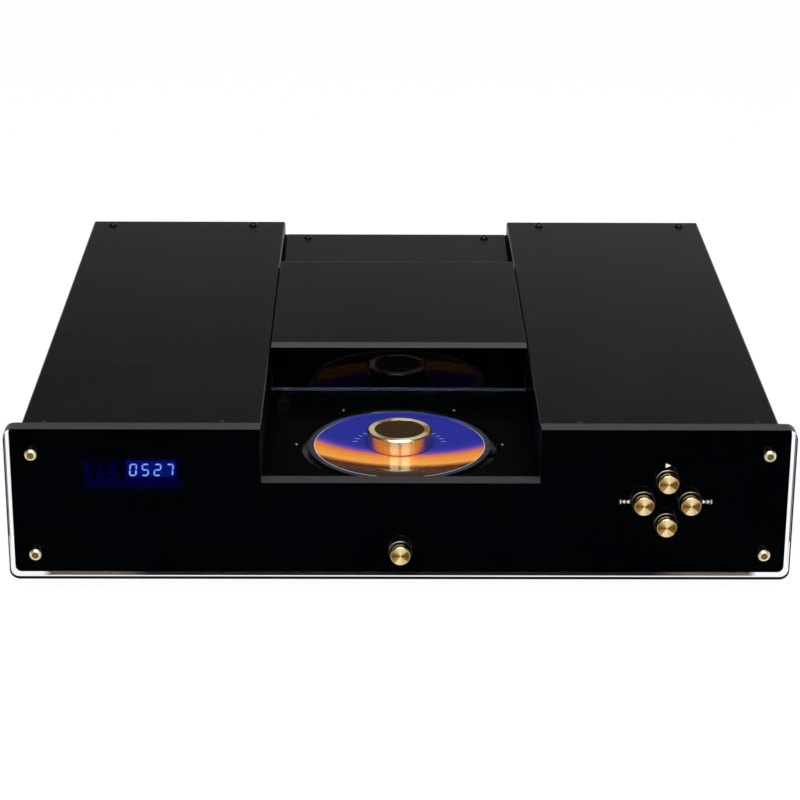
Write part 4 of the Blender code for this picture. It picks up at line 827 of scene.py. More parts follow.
@dataclass(frozen=True)
class DiscPrint(Finish):
    """Print of a disc: an off-centre blue round, edged violet and orange, on a dark ground, and a ring of ticks."""

    round_x: float = 0.007
    round_y: float = 0.066
    round_radius: float = 0.083
    ticks: int = 36
    tick_inner: float = 0.0275
    tick_outer: float = 0.0305
    rim_radius: float = 0.0546
    stops: tuple = (
        (0.0, (0.030, 0.040, 0.36)),
        (0.14, (0.055, 0.045, 0.42)),
        (0.24, (0.26, 0.10, 0.42)),
        (0.30, (0.75, 0.20, 0.10)),
        (0.42, (1.0, 0.33, 0.05)),
        (0.62, (1.0, 0.46, 0.10)),
        (0.69, (0.55, 0.15, 0.02)),
        (0.75, (0.12, 0.042, 0.022)),
        (0.88, (0.13, 0.06, 0.038)),
        (1.0, (0.05, 0.03, 0.02)),
    )

    def dress(self, nodes: Nodes) -> dict:
        """Distance from the round's centre picks the colour; distance and angle about the spindle set the ticks.

        Args:
            nodes: adds nodes to the material's or the group's tree.

        Returns:
            Value or socket for each of the shader's inputs that the finish sets.
        """
        centred = nodes.mapped(nodes.where(), Location=(0.0, -AXIS_Y, 0.0))
        x, y, _ = nodes.axes(centred)
        away = nodes.length(nodes.math("SUBTRACT", x, self.round_x), nodes.math("SUBTRACT", y, self.round_y))
        rough = nodes.math("MULTIPLY_ADD", nodes.noise(centred, 160.0, 3.0), 0.0012, away)
        share = nodes.spread(rough, self.round_radius - 0.010, self.round_radius + 0.034)
        patches = nodes.step(nodes.noise(centred, 420.0, 4.0), 0.45, 0.6, 0.0, 0.6)
        dim = nodes.math("MULTIPLY", nodes.step(share, 0.66, 0.76), patches)
        colour = nodes.blend(dim, nodes.ramp(share, self.stops), (0.03, 0.018, 0.012))
        radius = nodes.length(x, y)
        turn = nodes.math("MULTIPLY", nodes.math("ARCTAN2", y, x), self.ticks / math.tau)
        marks = nodes.math("LESS_THAN", nodes.math("PINGPONG", turn, 0.5), 0.07)
        inside = ("GREATER_THAN", radius, self.tick_inner), ("LESS_THAN", radius, self.tick_outer)
        for test, value, limit in (*inside, ("GREATER_THAN", y, 0.004)):
            marks = nodes.math("MULTIPLY", marks, nodes.math(test, value, limit))
        rim = nodes.math("MULTIPLY", nodes.math("GREATER_THAN", radius, self.rim_radius), nodes.step(y, 0.048, 0.020))
        light = nodes.math("MAXIMUM", nodes.math("MULTIPLY", marks, 0.6), nodes.math("MULTIPLY", rim, 0.75))
        return {
            "Base Color": nodes.blend(light, colour, (0.75, 0.72, 0.8)),
            "Roughness": nodes.math("MULTIPLY_ADD", nodes.group(handling())["Marks"], 0.03, 0.06),
            "Normal": nodes.bump(marks, 0.2, 0.00001),
            "Coat Weight": 0.6,
            "Coat Roughness": 0.02,
        }


@dataclass(frozen=True)
class DiscMirror(Finish):
    """The silver side of a disc, with faint colours that fan out round the spindle."""

    hues: tuple = (
        (0.0, (0.75, 0.75, 0.8)),
        (0.3, (0.6, 0.8, 0.75)),
        (0.5, (0.8, 0.8, 0.6)),
        (0.7, (0.8, 0.6, 0.65)),
        (1.0, (0.75, 0.75, 0.8)),
    )

    def dress(self, nodes: Nodes) -> dict:
        """The angle about the spindle picks a pale hue; the radius sets fine bands.

        Args:
            nodes: adds nodes to the material's or the group's tree.

        Returns:
            Value or socket for each of the shader's inputs that the finish sets.
        """
        x, y, _ = nodes.axes(nodes.mapped(nodes.where(), Location=(0.0, -AXIS_Y, 0.0)))
        turn = nodes.math("PINGPONG", nodes.math("MULTIPLY", nodes.math("ARCTAN2", y, x), 4 / math.tau), 1.0)
        radius = nodes.length(x, y)
        bands = nodes.math("PINGPONG", nodes.math("MULTIPLY", radius, 600.0), 1.0)
        return {
            "Base Color": nodes.ramp(nodes.math("FRACT", nodes.math("MULTIPLY_ADD", radius, 22.0, turn)), self.hues),
            "Roughness": nodes.step(bands, 0.0, 1.0, 0.08, 0.14),
            "Metallic": 1.0,
        }


@dataclass(frozen=True)
class DiscEdge(Finish):
    """Outer ring of a disc: silvery, and taking on the print's blue towards the back."""

    silver: Colour = (0.20, 0.21, 0.25)
    blue: Colour = (0.045, 0.055, 0.38)
    start: float = AXIS_Y + 0.030
    end: float = AXIS_Y + 0.048

    def dress(self, nodes: Nodes) -> dict:
        """The place along y mixes the two colours; broad marks vary the silver.

        Args:
            nodes: adds nodes to the material's or the group's tree.

        Returns:
            Value or socket for each of the shader's inputs that the finish sets.
        """
        y = nodes.axes(nodes.where())[1]
        marks = nodes.group(handling(), Size=60.0)["Marks"]
        silver = nodes.blend(marks, self.silver, tuple(0.5 * part for part in self.silver))
        return {
            "Base Color": nodes.blend(nodes.step(y, self.start, self.end), silver, self.blue),
            "Metallic": nodes.step(y, self.end, self.start, 0.0, 0.8),
            "Roughness": nodes.math("MULTIPLY_ADD", marks, 0.08, 0.28),
        }


@dataclass(frozen=True)
class RimGlint(Finish):
    """Polished rim of a hole in clear acrylic with a painted highlight: pale over its upper left, dark over the rest
    of its turn.
    """

    pale: Colour = (0.90, 0.88, 1.0)
    dark: Colour = (0.020, 0.020, 0.024)
    brightest: float = 0.31

    def dress(self, nodes: Nodes) -> dict:
        """The share of the turn from the right side, streaked by noise, mixes the dark colour and the pale painted
        highlight.

        Args:
            nodes: adds nodes to the material's or the group's tree.

        Returns:
            Value or socket for each of the shader's inputs that the finish sets.
        """
        away = nodes.math("ABSOLUTE", nodes.math("SUBTRACT", nodes.pattern()[0], self.brightest))
        noise = nodes.noise(nodes.where(), 260.0)
        share = nodes.step(nodes.math("MULTIPLY_ADD", noise, 0.16, away), 0.26, 0.12)
        rough = nodes.step(noise, 0.3, 0.7, 0.16, 0.26)
        return {"Base Color": nodes.blend(share, self.dark, self.pale), "Roughness": rough, "Metallic": 0.4}


@dataclass(frozen=True)
class PaintedFootShade(Finish):
    """Dark strip inside the panel's foot, as painted shade: browner and thinner towards its two ends, where the gilt
    feet seen through the clear edge are painted in.
    """

    dark: Colour = (0.022, 0.023, 0.026)
    brown: Colour = (0.22, 0.18, 0.145)

    def dress(self, nodes: Nodes) -> dict:
        """The distance from the middle picks the colour, broken up by noise drawn out along the panel.

        Args:
            nodes: adds nodes to the material's or the group's tree.

        Returns:
            Value or socket for each of the shader's inputs that the finish sets.
        """
        where = nodes.where()
        away = nodes.math("ABSOLUTE", nodes.axes(where)[0])
        noise = nodes.noise(nodes.mapped(where, Scale=(0.3, 2.0, 1.0)), 90.0)
        place = nodes.math("MULTIPLY_ADD", noise, 0.006, away)
        stops = [(0.0, self.dark), (0.28, self.brown), (1.0, self.brown)]
        return {
            "Base Color": nodes.ramp(nodes.spread(place, 0.160, 0.230), stops),
            "Alpha": nodes.step(place, 0.2265, 0.2170),
            "Roughness": nodes.step(noise, 0.3, 0.7, 0.4, 0.5),
            "Specular IOR Level": 0.0,
        }


@dataclass(frozen=True)
class Glow(Finish):
    """Glowing bars of the display: the lit figures, and a faint painted glow on the unlit ones."""

    colour: Colour
    dimmer: Colour
    band: float = 900.0
    strength: float = 1.0

    def dress(self, nodes: Nodes) -> dict:
        """Soft noise stretched upright mixes the two colours of light.

        Args:
            nodes: adds nodes to the material's or the group's tree.

        Returns:
            Value or socket for each of the shader's inputs that the finish sets.
        """
        noise = nodes.noise(nodes.mapped(nodes.where(), Scale=(1.0, 1.0, 0.25)), self.band, 1.5)
        colour = nodes.blend(nodes.step(noise, 0.38, 0.62), self.dimmer, self.colour)
        return nodes.lit(colour, self.strength, noise)


@dataclass(frozen=True)
class PaintedGlassGlow(Finish):
    """Glass of a lit display with a painted glow: a faint blue that fades to its edges, and stronger round the
    figures.
    """

    low: tuple[float, float]
    high: tuple[float, float]
    figures_low: tuple[float, float]
    figures_high: tuple[float, float]
    faint: Colour = (0.0, 0.0, 0.030)
    strong: Colour = (0.0, 0.004, 0.13)
    band_z: tuple[float, float] = (0.0695, 0.0735)
    columns: tuple = ((-0.1921, 0.0700, 0.0855), (-0.1846, 0.0755, 0.0825), (-0.1767, 0.0755, 0.0850))
    column_half: float = 0.0008

    def within(
        self, nodes: Nodes, x: object, z: object, low: tuple[float, float], high: tuple[float, float], soft: float
    ) -> bpy.types.NodeSocket:
        """Share that falls off smoothly outside a box, as the square of a step of the distance to it.

        Args:
            nodes: adds nodes to the material's or the group's tree.
            x: the place across.
            z: the place up.
            low: the box's lower left corner.
            high: the box's upper right corner.
            soft: distance over which the share falls to 0.

        Returns:
            The share.
        """
        gaps = []
        for value, start, end in ((x, low[0], high[0]), (z, low[1], high[1])):
            away = nodes.math("ABSOLUTE", nodes.math("SUBTRACT", value, (start + end) / 2))
            gaps.append(nodes.math("MAXIMUM", nodes.math("SUBTRACT", away, (end - start) / 2), 0.0))
        return nodes.math("POWER", nodes.step(nodes.length(*gaps), soft, 0.0), 2.0)

    def dress(self, nodes: Nodes) -> dict:
        """Soft columns and a low band make the faint painted glow, and a closer box the stronger one.

        Args:
            nodes: adds nodes to the material's or the group's tree.

        Returns:
            Value or socket for each of the shader's inputs that the finish sets.
        """
        where = nodes.where()
        x, _, z = nodes.axes(where)
        (left, low), (right, high) = self.low, self.high
        (start, foot), (end, top) = self.figures_low, self.figures_high
        faint = self.within(nodes, x, z, (left + 0.004, self.band_z[0]), (right - 0.003, self.band_z[1]), 0.0040)
        half = self.column_half
        for place, below, above in self.columns:
            column = self.within(nodes, x, z, (place - half, below), (place + half, above), 0.0034)
            faint = nodes.math("MAXIMUM", faint, column)
        noise = nodes.noise(where, 260.0, 1.0)
        uneven = nodes.math("MULTIPLY", faint, nodes.step(noise, 0.30, 0.60, 0.7, 1.0))
        wide = self.within(nodes, x, z, (start - 0.001, foot), (end + 0.001, top + 0.002), 0.0048)
        glow = self.within(nodes, x, z, (start, foot), (end + 0.0005, top + 0.0012), 0.0022)
        edge = self.within(nodes, x, z, (left + 0.0040, low + 0.0040), (right - 0.0040, high - 0.0040), 0.0040)
        colour = nodes.blend(nodes.math("MAXIMUM", uneven, wide), (0.0, 0.0, 0.0008), self.faint)
        colour = nodes.blend(edge, (0.0, 0.0, 0.0), nodes.blend(glow, colour, self.strong))
        return nodes.lit(colour, 1.0, noise)


@dataclass(frozen=True)
class Plated(Finish):
    """Zinc or nickel plate with a faint spangle."""

    colour: Colour = (0.55, 0.56, 0.58)
    darker: Colour = (0.42, 0.43, 0.46)
    roughness: float = 0.3
    spangle: float = 260.0

    def dress(self, nodes: Nodes) -> dict:
        """Cells of a Voronoi pattern shade the plate; grain roughens it.

        Args:
            nodes: adds nodes to the material's or the group's tree.

        Returns:
            Value or socket for each of the shader's inputs that the finish sets.
        """
        cells = nodes.add("TexVoronoi", {"Vector": nodes.where(), "Scale": self.spangle}).outputs["Color"]
        share = nodes.add("SeparateColor", {0: cells}).outputs[0]
        peel = nodes.group(grain())
        return {
            "Base Color": nodes.blend(share, self.darker, self.colour),
            "Roughness": nodes.math("MULTIPLY_ADD", peel["Tone"], 0.12, self.roughness),
            "Normal": nodes.bump(peel["Height"], 0.3, 0.00001),
            "Metallic": 1.0,
        }


@dataclass(frozen=True)
class BoardLacquer(Finish):
    """Green lacquer over copper runs."""

    def dress(self, nodes: Nodes) -> dict:
        """Square cells' edges are the runs, lighter and a little raised.

        Args:
            nodes: adds nodes to the material's or the group's tree.

        Returns:
            Value or socket for each of the shader's inputs that the finish sets.
        """
        inputs = {"Vector": nodes.where(), "Scale": 130.0, "Randomness": 0.35}
        cells = nodes.add("TexVoronoi", inputs, distance="CHEBYCHEV").outputs["Distance"]
        run = nodes.step(nodes.math("PINGPONG", nodes.math("MULTIPLY", cells, 5.0), 1.0), 0.35, 0.5)
        return {
            "Base Color": nodes.blend(run, (0.008, 0.07, 0.022), (0.02, 0.16, 0.05)),
            "Roughness": nodes.math("MULTIPLY_ADD", nodes.group(grain())["Tone"], 0.15, 0.3),
            "Normal": nodes.bump(run, 0.4, 0.00003),
        }


@dataclass(frozen=True)
class Winding(Finish):
    """Tape wound round a ring core, in slanting laps."""

    centre_y: float = 0.0776
    laps: int = 30

    def dress(self, nodes: Nodes) -> dict:
        """The angle about the core's axis, sheared by height, repeats as laps with dark edges.

        Args:
            nodes: adds nodes to the material's or the group's tree.

        Returns:
            Value or socket for each of the shader's inputs that the finish sets.
        """
        x, y, z = nodes.axes(nodes.mapped(nodes.where(), Location=(0.0, -self.centre_y, 0.0)))
        slant = nodes.math("MULTIPLY_ADD", z, 6.0, nodes.math("ARCTAN2", y, x))
        lap = nodes.math("FRACT", nodes.math("MULTIPLY", slant, self.laps / math.tau))
        stops = [(0.0, (0.25, 0.17, 0.03)), (0.08, (0.62, 0.46, 0.09)), (1.0, (0.74, 0.58, 0.14))]
        return {
            "Base Color": nodes.ramp(lap, stops),
            "Roughness": nodes.math("MULTIPLY_ADD", nodes.group(grain())["Tone"], 0.1, 0.3),
            "Normal": nodes.bump(lap, 0.6, 0.0003),
        }


POWDER = Grained(
    "charcoal_powder_coat", (0.0030, 0.0030, 0.0031), (0.0074, 0.0074, 0.0075), roughness=0.2, shine_spread=0.04,
    grain_size=1700.0, grain_depth=0.00003, strength=0.5, specular=0.061,
)
# A darker copy of the powder coat: painted shade on the well's tray and on the walls that face into the well.
WELL_SHADE_COAT = Grained(
    "well_coat_painted_shade", (0.0005, 0.0009, 0.0012), (0.0016, 0.0024, 0.0028), roughness=0.36, shine_spread=0.08,
    grain_size=1400.0, specular=0.05,
)
# Near-black: painted shade in the cover screws' sockets, and the lid switch's own black darkened by painted shade.
SHADE = Grained(
    "switch_black_and_socket_shade", (0.0012, 0.0012, 0.0013), (0.003, 0.003, 0.0032), roughness=0.5, shine_spread=0.08,
    grain_size=1800.0, grain_depth=0.00003, specular=0.1,
)
SATIN_STEEL = Grained(
    "satin_black_steel", (0.008, 0.008, 0.009), (0.016, 0.016, 0.017), roughness=0.42, shine_spread=0.08,
    grain_size=1200.0, grain_depth=0.00003, strength=0.3,
)
SCREW_BLACK = Grained(
    "blacked_screw", (0.008, 0.008, 0.009), (0.02, 0.02, 0.02), roughness=0.32, shine_spread=0.06, grain_size=2500.0,
    grain_depth=0.00001, strength=0.3, metallic=0.6,
)
MOULDED = Grained(
    "moulded_black", (0.012, 0.012, 0.013), (0.022, 0.022, 0.024), roughness=0.38, shine_spread=0.1, grain_size=2200.0,
    grain_depth=0.00003,
)
RUBBER = Grained(
    "matt_rubber", (0.008, 0.008, 0.008), (0.016, 0.015, 0.015), roughness=0.75, shine_spread=0.1, grain_size=1800.0,
    grain_depth=0.00005, strength=0.5, specular=0.3,
)
RING_WHITE = Grained(
    "white_insulator", (0.60, 0.59, 0.56), (0.72, 0.71, 0.68), roughness=0.35, shine_spread=0.1, grain_size=2200.0,
    grain_depth=0.00002, strength=0.3,
)
RING_RED = replace(RING_WHITE, name="red_insulator", colour=(0.36, 0.012, 0.010), lighter=(0.46, 0.020, 0.016))
NYLON = Grained(
    "natural_nylon", (0.62, 0.61, 0.56), (0.74, 0.73, 0.69), roughness=0.45, shine_spread=0.08, grain_size=1500.0,
    grain_depth=0.00003, strength=0.3,
)
FILM = Grained(
    "black_backing", (0.0, 0.0, 0.0003), (0.0, 0.0001, 0.0010), roughness=0.45, shine_spread=0.1, grain_size=900.0,
    grain_depth=0.000004, strength=0.2, specular=0.0,
)
EDGE_SHADE = replace(
    FILM, name="shaded_edge", colour=(0.009, 0.009, 0.011), lighter=(0.013, 0.013, 0.015), roughness=0.5
)
FOOT_PAINTED_SHADE = PaintedFootShade("painted_foot_shade")
FOOT_LIGHT = replace(FILM, name="lit_edge", colour=(0.055, 0.064, 0.098), lighter=(0.064, 0.074, 0.11))
INK = Grained(
    "pale_ink", (0.62, 0.58, 0.50), (0.75, 0.72, 0.64), roughness=0.5, shine_spread=0.05, grain_size=3000.0,
    grain_depth=0.000004, strength=0.2,
)
INLAY = Grained(
    "dark_inlay", (0.030, 0.017, 0.008), (0.046, 0.028, 0.014), roughness=0.34, shine_spread=0.1, grain_size=2500.0,
    grain_depth=0.00001, strength=0.3, specular=0.3,
)
FLOOR_SCREW = Polished("dull_screw", (0.17, 0.18, 0.19), (0.10, 0.11, 0.12), roughness=0.4)
DISC_EDGE = DiscEdge("silvered_edge")
RIM_GLINT = RimGlint("hole_rim_glint")
GILT = Polished("polished_gilt")
# Buttons' faces: the fan of bright and dark in their colour is a painted highlight.
GILT_FACE = PaintedFanHighlight("gilt_face_painted_fan")
PALE_GILT = Polished("pale_gilt", (0.82, 0.73, 0.46), (0.70, 0.58, 0.32), roughness=0.34)
# Screw sockets: a darkened copy of the gilt, as painted shade in the recess.
SOCKET_SHADE = Grained(
    "gilt_socket_painted_shade", (0.10, 0.065, 0.018), (0.22, 0.15, 0.05), roughness=0.4, shine_spread=0.1, grain_size=2500.0,
    grain_depth=0.00001, strength=0.3, metallic=0.6,
)
BRASS = Spun(
    "turned_brass", (0.98, 0.85, 0.56), (0.90, 0.72, 0.41), roughness=0.27, drawn_out=0.93, rings=6000.0,
    ring_depth=0.0000006,
)
# Clamp's top ring: the fan of bright and brown in its colour is a painted highlight.
BRASS_RING = PaintedFanHighlight(
    "brass_ring_painted_fan", (0.42, 0.23, 0.08), (0.80, 0.58, 0.29), (0.97, 0.81, 0.48), middle_at=0.4, streaks=2.0,
    lobes=1.5, roughness=0.40, metallic=0.5,
)
INLAY_RING = Polished("inlay_ring", (0.46, 0.34, 0.18), (0.36, 0.26, 0.13), roughness=0.3)
BRASS_RIM = Polished("brass_rim", (0.96, 0.84, 0.54), (0.90, 0.74, 0.42), roughness=0.27)
GILT_RIM = Polished("gilt_rim", (0.80, 0.62, 0.34), (0.70, 0.50, 0.24), roughness=0.26)
ZINC = Plated("zinc_plate")
SOCKET_METAL = Plated("socket_nickel", (0.42, 0.42, 0.43), (0.34, 0.34, 0.35), roughness=0.28, spangle=900.0)
PIN_GOLD = replace(
    SOCKET_METAL, name="contact_gold", colour=(0.85, 0.62, 0.28), darker=(0.75, 0.52, 0.2), roughness=0.22
)
ACRYLIC_FACE = Clear("acrylic_face", (0.96, 0.95, 0.98), index=1.045)
ACRYLIC_EDGE = replace(ACRYLIC_FACE, name="acrylic_edge", index=1.2)
ACRYLIC_FOOT = replace(ACRYLIC_FACE, name="acrylic_foot", index=1.01)
# Near-black walls of the holes in the clear panel: painted shade in the gap round each button and screw.
HOLE_WALL = Grained(
    "hole_wall_painted_shade", (0.0006, 0.0006, 0.0008), (0.0012, 0.0012, 0.0016), roughness=0.3, shine_spread=0.1,
    grain_size=900.0, grain_depth=0.00001, strength=0.3, specular=0.2,
)
# Opaque grey of the clear slabs' top edges and of the fascia's side lines: satin acrylic with a painted sheen.
SAWN_EDGE = Grained(
    "acrylic_edge_satin_sheen", (0.0375, 0.0375, 0.0425), (0.045, 0.045, 0.050), roughness=0.35, shine_spread=0.1,
    grain_size=900.0, grain_depth=0.000006, strength=0.3, specular=0.1,
)
FASCIA_EDGE = replace(
    SAWN_EDGE, name="fascia_edge_satin_sheen", colour=(0.051, 0.051, 0.057), lighter=(0.060, 0.060, 0.067)
)
FASCIA_FACE = Clear("clear_fascia_face", (0.96, 0.97, 1.0), index=1.26)
FASCIA_BACK = replace(FASCIA_FACE, name="clear_fascia_back", index=1.02)
POLYCARBONATE = Clear("clear_polycarbonate", (0.95, 0.96, 0.96), index=1.45)
DISPLAY_BARS = Glow("display_bars", (0.30, 0.42, 1.0), (0.20, 0.30, 0.95), strength=1.1)
# Unlit bars: a faint painted glow.
DISPLAY_SPARE = Glow("unlit_bars_painted_glow", (0.001, 0.010, 0.16), (0.0, 0.006, 0.14))


def add_piece(
    surface: Surface,
    name: str,
    body: str,
    finishes: Sequence[Finish],
    stands_for: Sequence[str] = (),
) -> bpy.types.Object:
    """Makes a piece that rides on a body.

    Args:
        surface: the piece's shape, in its place.
        name: the piece's name.
        body: the body it rides on.
        finishes: the finishes its faces number.
        stands_for: CAD nodes that it replaces.

    Returns:
        The object.
    """
    surface.finish = np.minimum(surface.finish, len(finishes) - 1)
    obj = bpy.data.objects.new(name, surface.mesh(name))
    bpy.context.scene.collection.objects.link(obj)
    for finish in finishes:
        obj.data.materials.append(finish.material())
    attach(obj, body)
    if stands_for:
        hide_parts(*stands_for)
    LOG.info("%s: %d faces on %s", name, len(obj.data.polygons), body)
    return obj


def dress_node(name: str, finish: Finish) -> None:
    """Gives a CAD node that stays a finish.

    Args:
        name: the node.
        finish: its finish.
    """
    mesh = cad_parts[name].data
    mesh.materials.clear()
    mesh.materials.append(finish.material())
    LOG.info("%s: %s", name, finish.name)


@dataclass
class FrontPanel:
    """Thick clear acrylic with a black backing film, its notch, holes, symbols and screws."""

    half_width: float = 0.2415
    corner: float = 0.006
    notch_half: float = 0.0854
    notch_z: float = 0.077
    margin: float = 0.0021
    foot: float = 0.0005
    film: float = 0.0004
    button_hole: float = 0.0070
    edge_shade: float = 0.0008
    foot_shade: float = 0.0017
    foot_shade_depth: float = 0.0048
    film_corner: float = 0.0068
    notch_gap: float = 0.0002
    play_spot: tuple[float, float] = (0.1633, 0.0886)
    previous_spot: tuple[float, float] = (0.1380, 0.0646)
    next_spot: tuple[float, float] = (0.1876, 0.0646)
    ink: float = 0.00004
    screw_hole: float = 0.0023
    stem_hole: float = 0.0036
    shank_hole: float = 0.00205
    polish: float = 0.0003

    def holes(self, button: float, screw: float) -> list[Line]:
        """Round holes at the buttons and screws, of the given radii.

        Args:
            button: radius of the buttons' holes.
            screw: radius of the screws' holes.

        Returns:
            The holes' lines.
        """
        spots = [middle(name) for name in Buttons.NAMES]
        found = [Line.circle(x, z, button, 64, hole=True) for x, _, z in spots]
        screws = [middle(f"faceplate_screw_{index}") for index in range(1, 5)]
        return found + [Line.circle(x, z, screw, 32, hole=True) for x, _, z in screws]

    def outline(self, inset: float, corner: float, foot: float | None = None, top_corner: float | None = None) -> Line:
        """The panel's notched outline, drawn in at the left and right, and by a foot at the bottom.

        Args:
            inset: how far the left and right sides are drawn in.
            corner: rounding of the corners.
            foot: how far the bottom is drawn in, where it differs from the sides.
            top_corner: rounding of the upper corners, where it differs.

        Returns:
            The line.
        """
        upper = corner if top_corner is None else top_corner
        x, low, notch = self.half_width - inset, PANEL_BOTTOM_Z + (inset if foot is None else foot), self.notch_half
        gap = self.notch_gap if inset else 0.0
        top, notch, sill = TOP_Z - gap, notch + gap, self.notch_z - gap
        right = [(x, low, corner), (x, top, upper), (notch, top, 0.0005), (notch, sill, 0.0006)]
        left = [(-across, up, bend) for across, up, bend in reversed(right)]
        return Line.through([left[-1], *right, *left[:-1]], steps=10)

    def build(self) -> None:
        """Makes the slab, the film on its back and the symbols on its face."""
        low, high = -PANEL_REAR_Y, -PANEL_FACE_Y
        clear = plate(
            [self.outline(0.0, self.corner), *self.holes(self.button_hole, self.screw_hole)],
            low + self.film + 0.00005, high, self.polish, Facing.FRONT,
        )
        finishes = [ACRYLIC_FACE, ACRYLIC_EDGE, HOLE_WALL, SAWN_EDGE, ACRYLIC_FOOT, EDGE_SHADE]
        ahead, up = clear.normals.mean(1)[:, 1], clear.normals.mean(1)[:, 2]
        # Upper edge faces take the satin grey with its painted sheen; lower front bevels take the shaded edge.
        rim = clear.finish == 1
        clear.finish = np.select(
            [rim & (up > 0.4), rim & (up < -0.1) & (ahead < -0.25), rim & (up < -0.05)], [3, 5, 4], clear.finish
        )
        add_piece(clear, "panel_clear", "root", finishes, ["front_panel"])
        opening = Line.box(*Display.window(0.0004), 0.001, hole=True)
        film_holes = self.holes(self.stem_hole, self.shank_hole)
        film = self.outline(self.margin, self.corner - self.margin, self.foot, self.film_corner)
        backing = plate([film, *film_holes, opening], low, low + self.film, 0.00005, Facing.FRONT)
        add_piece(backing, "panel_backing", "root", [FILM])
        # A strip inside the slab's foot, just in front of the film: painted shade, with the gilt feet painted in
        # towards its ends.
        half, rear = self.half_width - 0.0165, PANEL_REAR_Y - 0.00005
        under = Line.box((-half, rear - self.film - self.foot_shade_depth), (half, rear), 0.0002)
        add_piece(
            plate([under], PANEL_BOTTOM_Z + 0.00015, PANEL_BOTTOM_Z + self.foot + 0.0001, 0.00002), "panel_foot_painted_shade",
            "root", [FOOT_PAINTED_SHADE],
        )
        self.symbols()
        self.rims()
        for index in range(1, 5):
            socket_screw(
                f"faceplate_screw_{index}", Facing.FRONT, [PALE_GILT, SOCKET_SHADE, SCREW_BLACK],
                head=0.0038, height=0.0022, socket=0.0019, depth=0.0013, shank=0.002,
            )

    def rims(self) -> None:
        """Bevelled front rims of the buttons' holes with a painted highlight, and the shaded line just inside the
        panel's outer edge.
        """
        face, r = -PANEL_FACE_Y, self.button_hole
        corners = [
            (r - 0.0001, face - 0.0004, 0.0), (r + 0.0004, face - 0.0004, 0.0), (r + 0.0004, face + 0.00004, 0.0),
            (r - 0.0001, face - 0.0002, 0.0),
        ]
        bevel = Line.through(corners, steps=2)
        rings = [
            turned(bevel, Facing.FRONT, (x, 0.0, z), 96, ring=True)
            for x, _, z in (middle(name) for name in Buttons.NAMES)
        ]
        add_piece(Surface.joined(rings), "panel_hole_rims", "root", [RIM_GLINT])
        outer, inner, top = self.half_width - 0.0001, self.half_width - self.edge_shade, TOP_Z - self.corner
        low, high, r = PANEL_BOTTOM_Z + 0.0001, PANEL_BOTTOM_Z + self.foot_shade, self.corner
        corners = [
            (-outer, low, r), (outer, low, r), (outer, top, 0.0), (inner, top, 0.0), (inner, high, r - 0.0008),
            (-inner, high, r - 0.0008), (-inner, top, 0.0), (-outer, top, 0.0),
        ]
        line = plate([Line.through(corners, steps=10)], face - 0.0005, face - 0.00045, 0.0, Facing.FRONT)
        add_piece(line, "panel_edge_shade", "root", [EDGE_SHADE])

    def symbols(self) -> None:
        """Play, previous and next marks: triangles and bars printed on the face."""

        def triangle(x: float, z: float, way: int, wide: float, tall: float) -> Line:
            """Triangle about a middle, its point to the right (1) or left (-1)."""
            corners = [
                (x - way * wide / 2, z - tall / 2, 0.0001), (x + way * wide / 2, z, 0.0001),
                (x - way * wide / 2, z + tall / 2, 0.0001),
            ]
            return Line.through(corners if way > 0 else corners[::-1], steps=3)

        marks = [triangle(*self.play_spot, 1, 0.0034, 0.0030)]
        for x, z, way in ((*self.previous_spot, -1), (*self.next_spot, 1)):
            marks += [triangle(x + side * 0.0013, z, way, 0.0021, 0.0027) for side in (-1, 1)]
            bar = x + way * 0.0031
            marks.append(Line.box((bar - 0.0003, z - 0.0014), (bar + 0.0003, z + 0.0014), 0.00005))
        face = -PANEL_FACE_Y
        surface = Surface.joined([plate([mark], face, face + self.ink, 0.0, Facing.FRONT) for mark in marks])
        add_piece(surface, "panel_symbols", "root", [INK])


def middle(node: str) -> Spot:
    """Middle of a node's box."""
    low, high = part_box(node)
    return tuple((a + b) / 2 for a, b in zip(low, high))


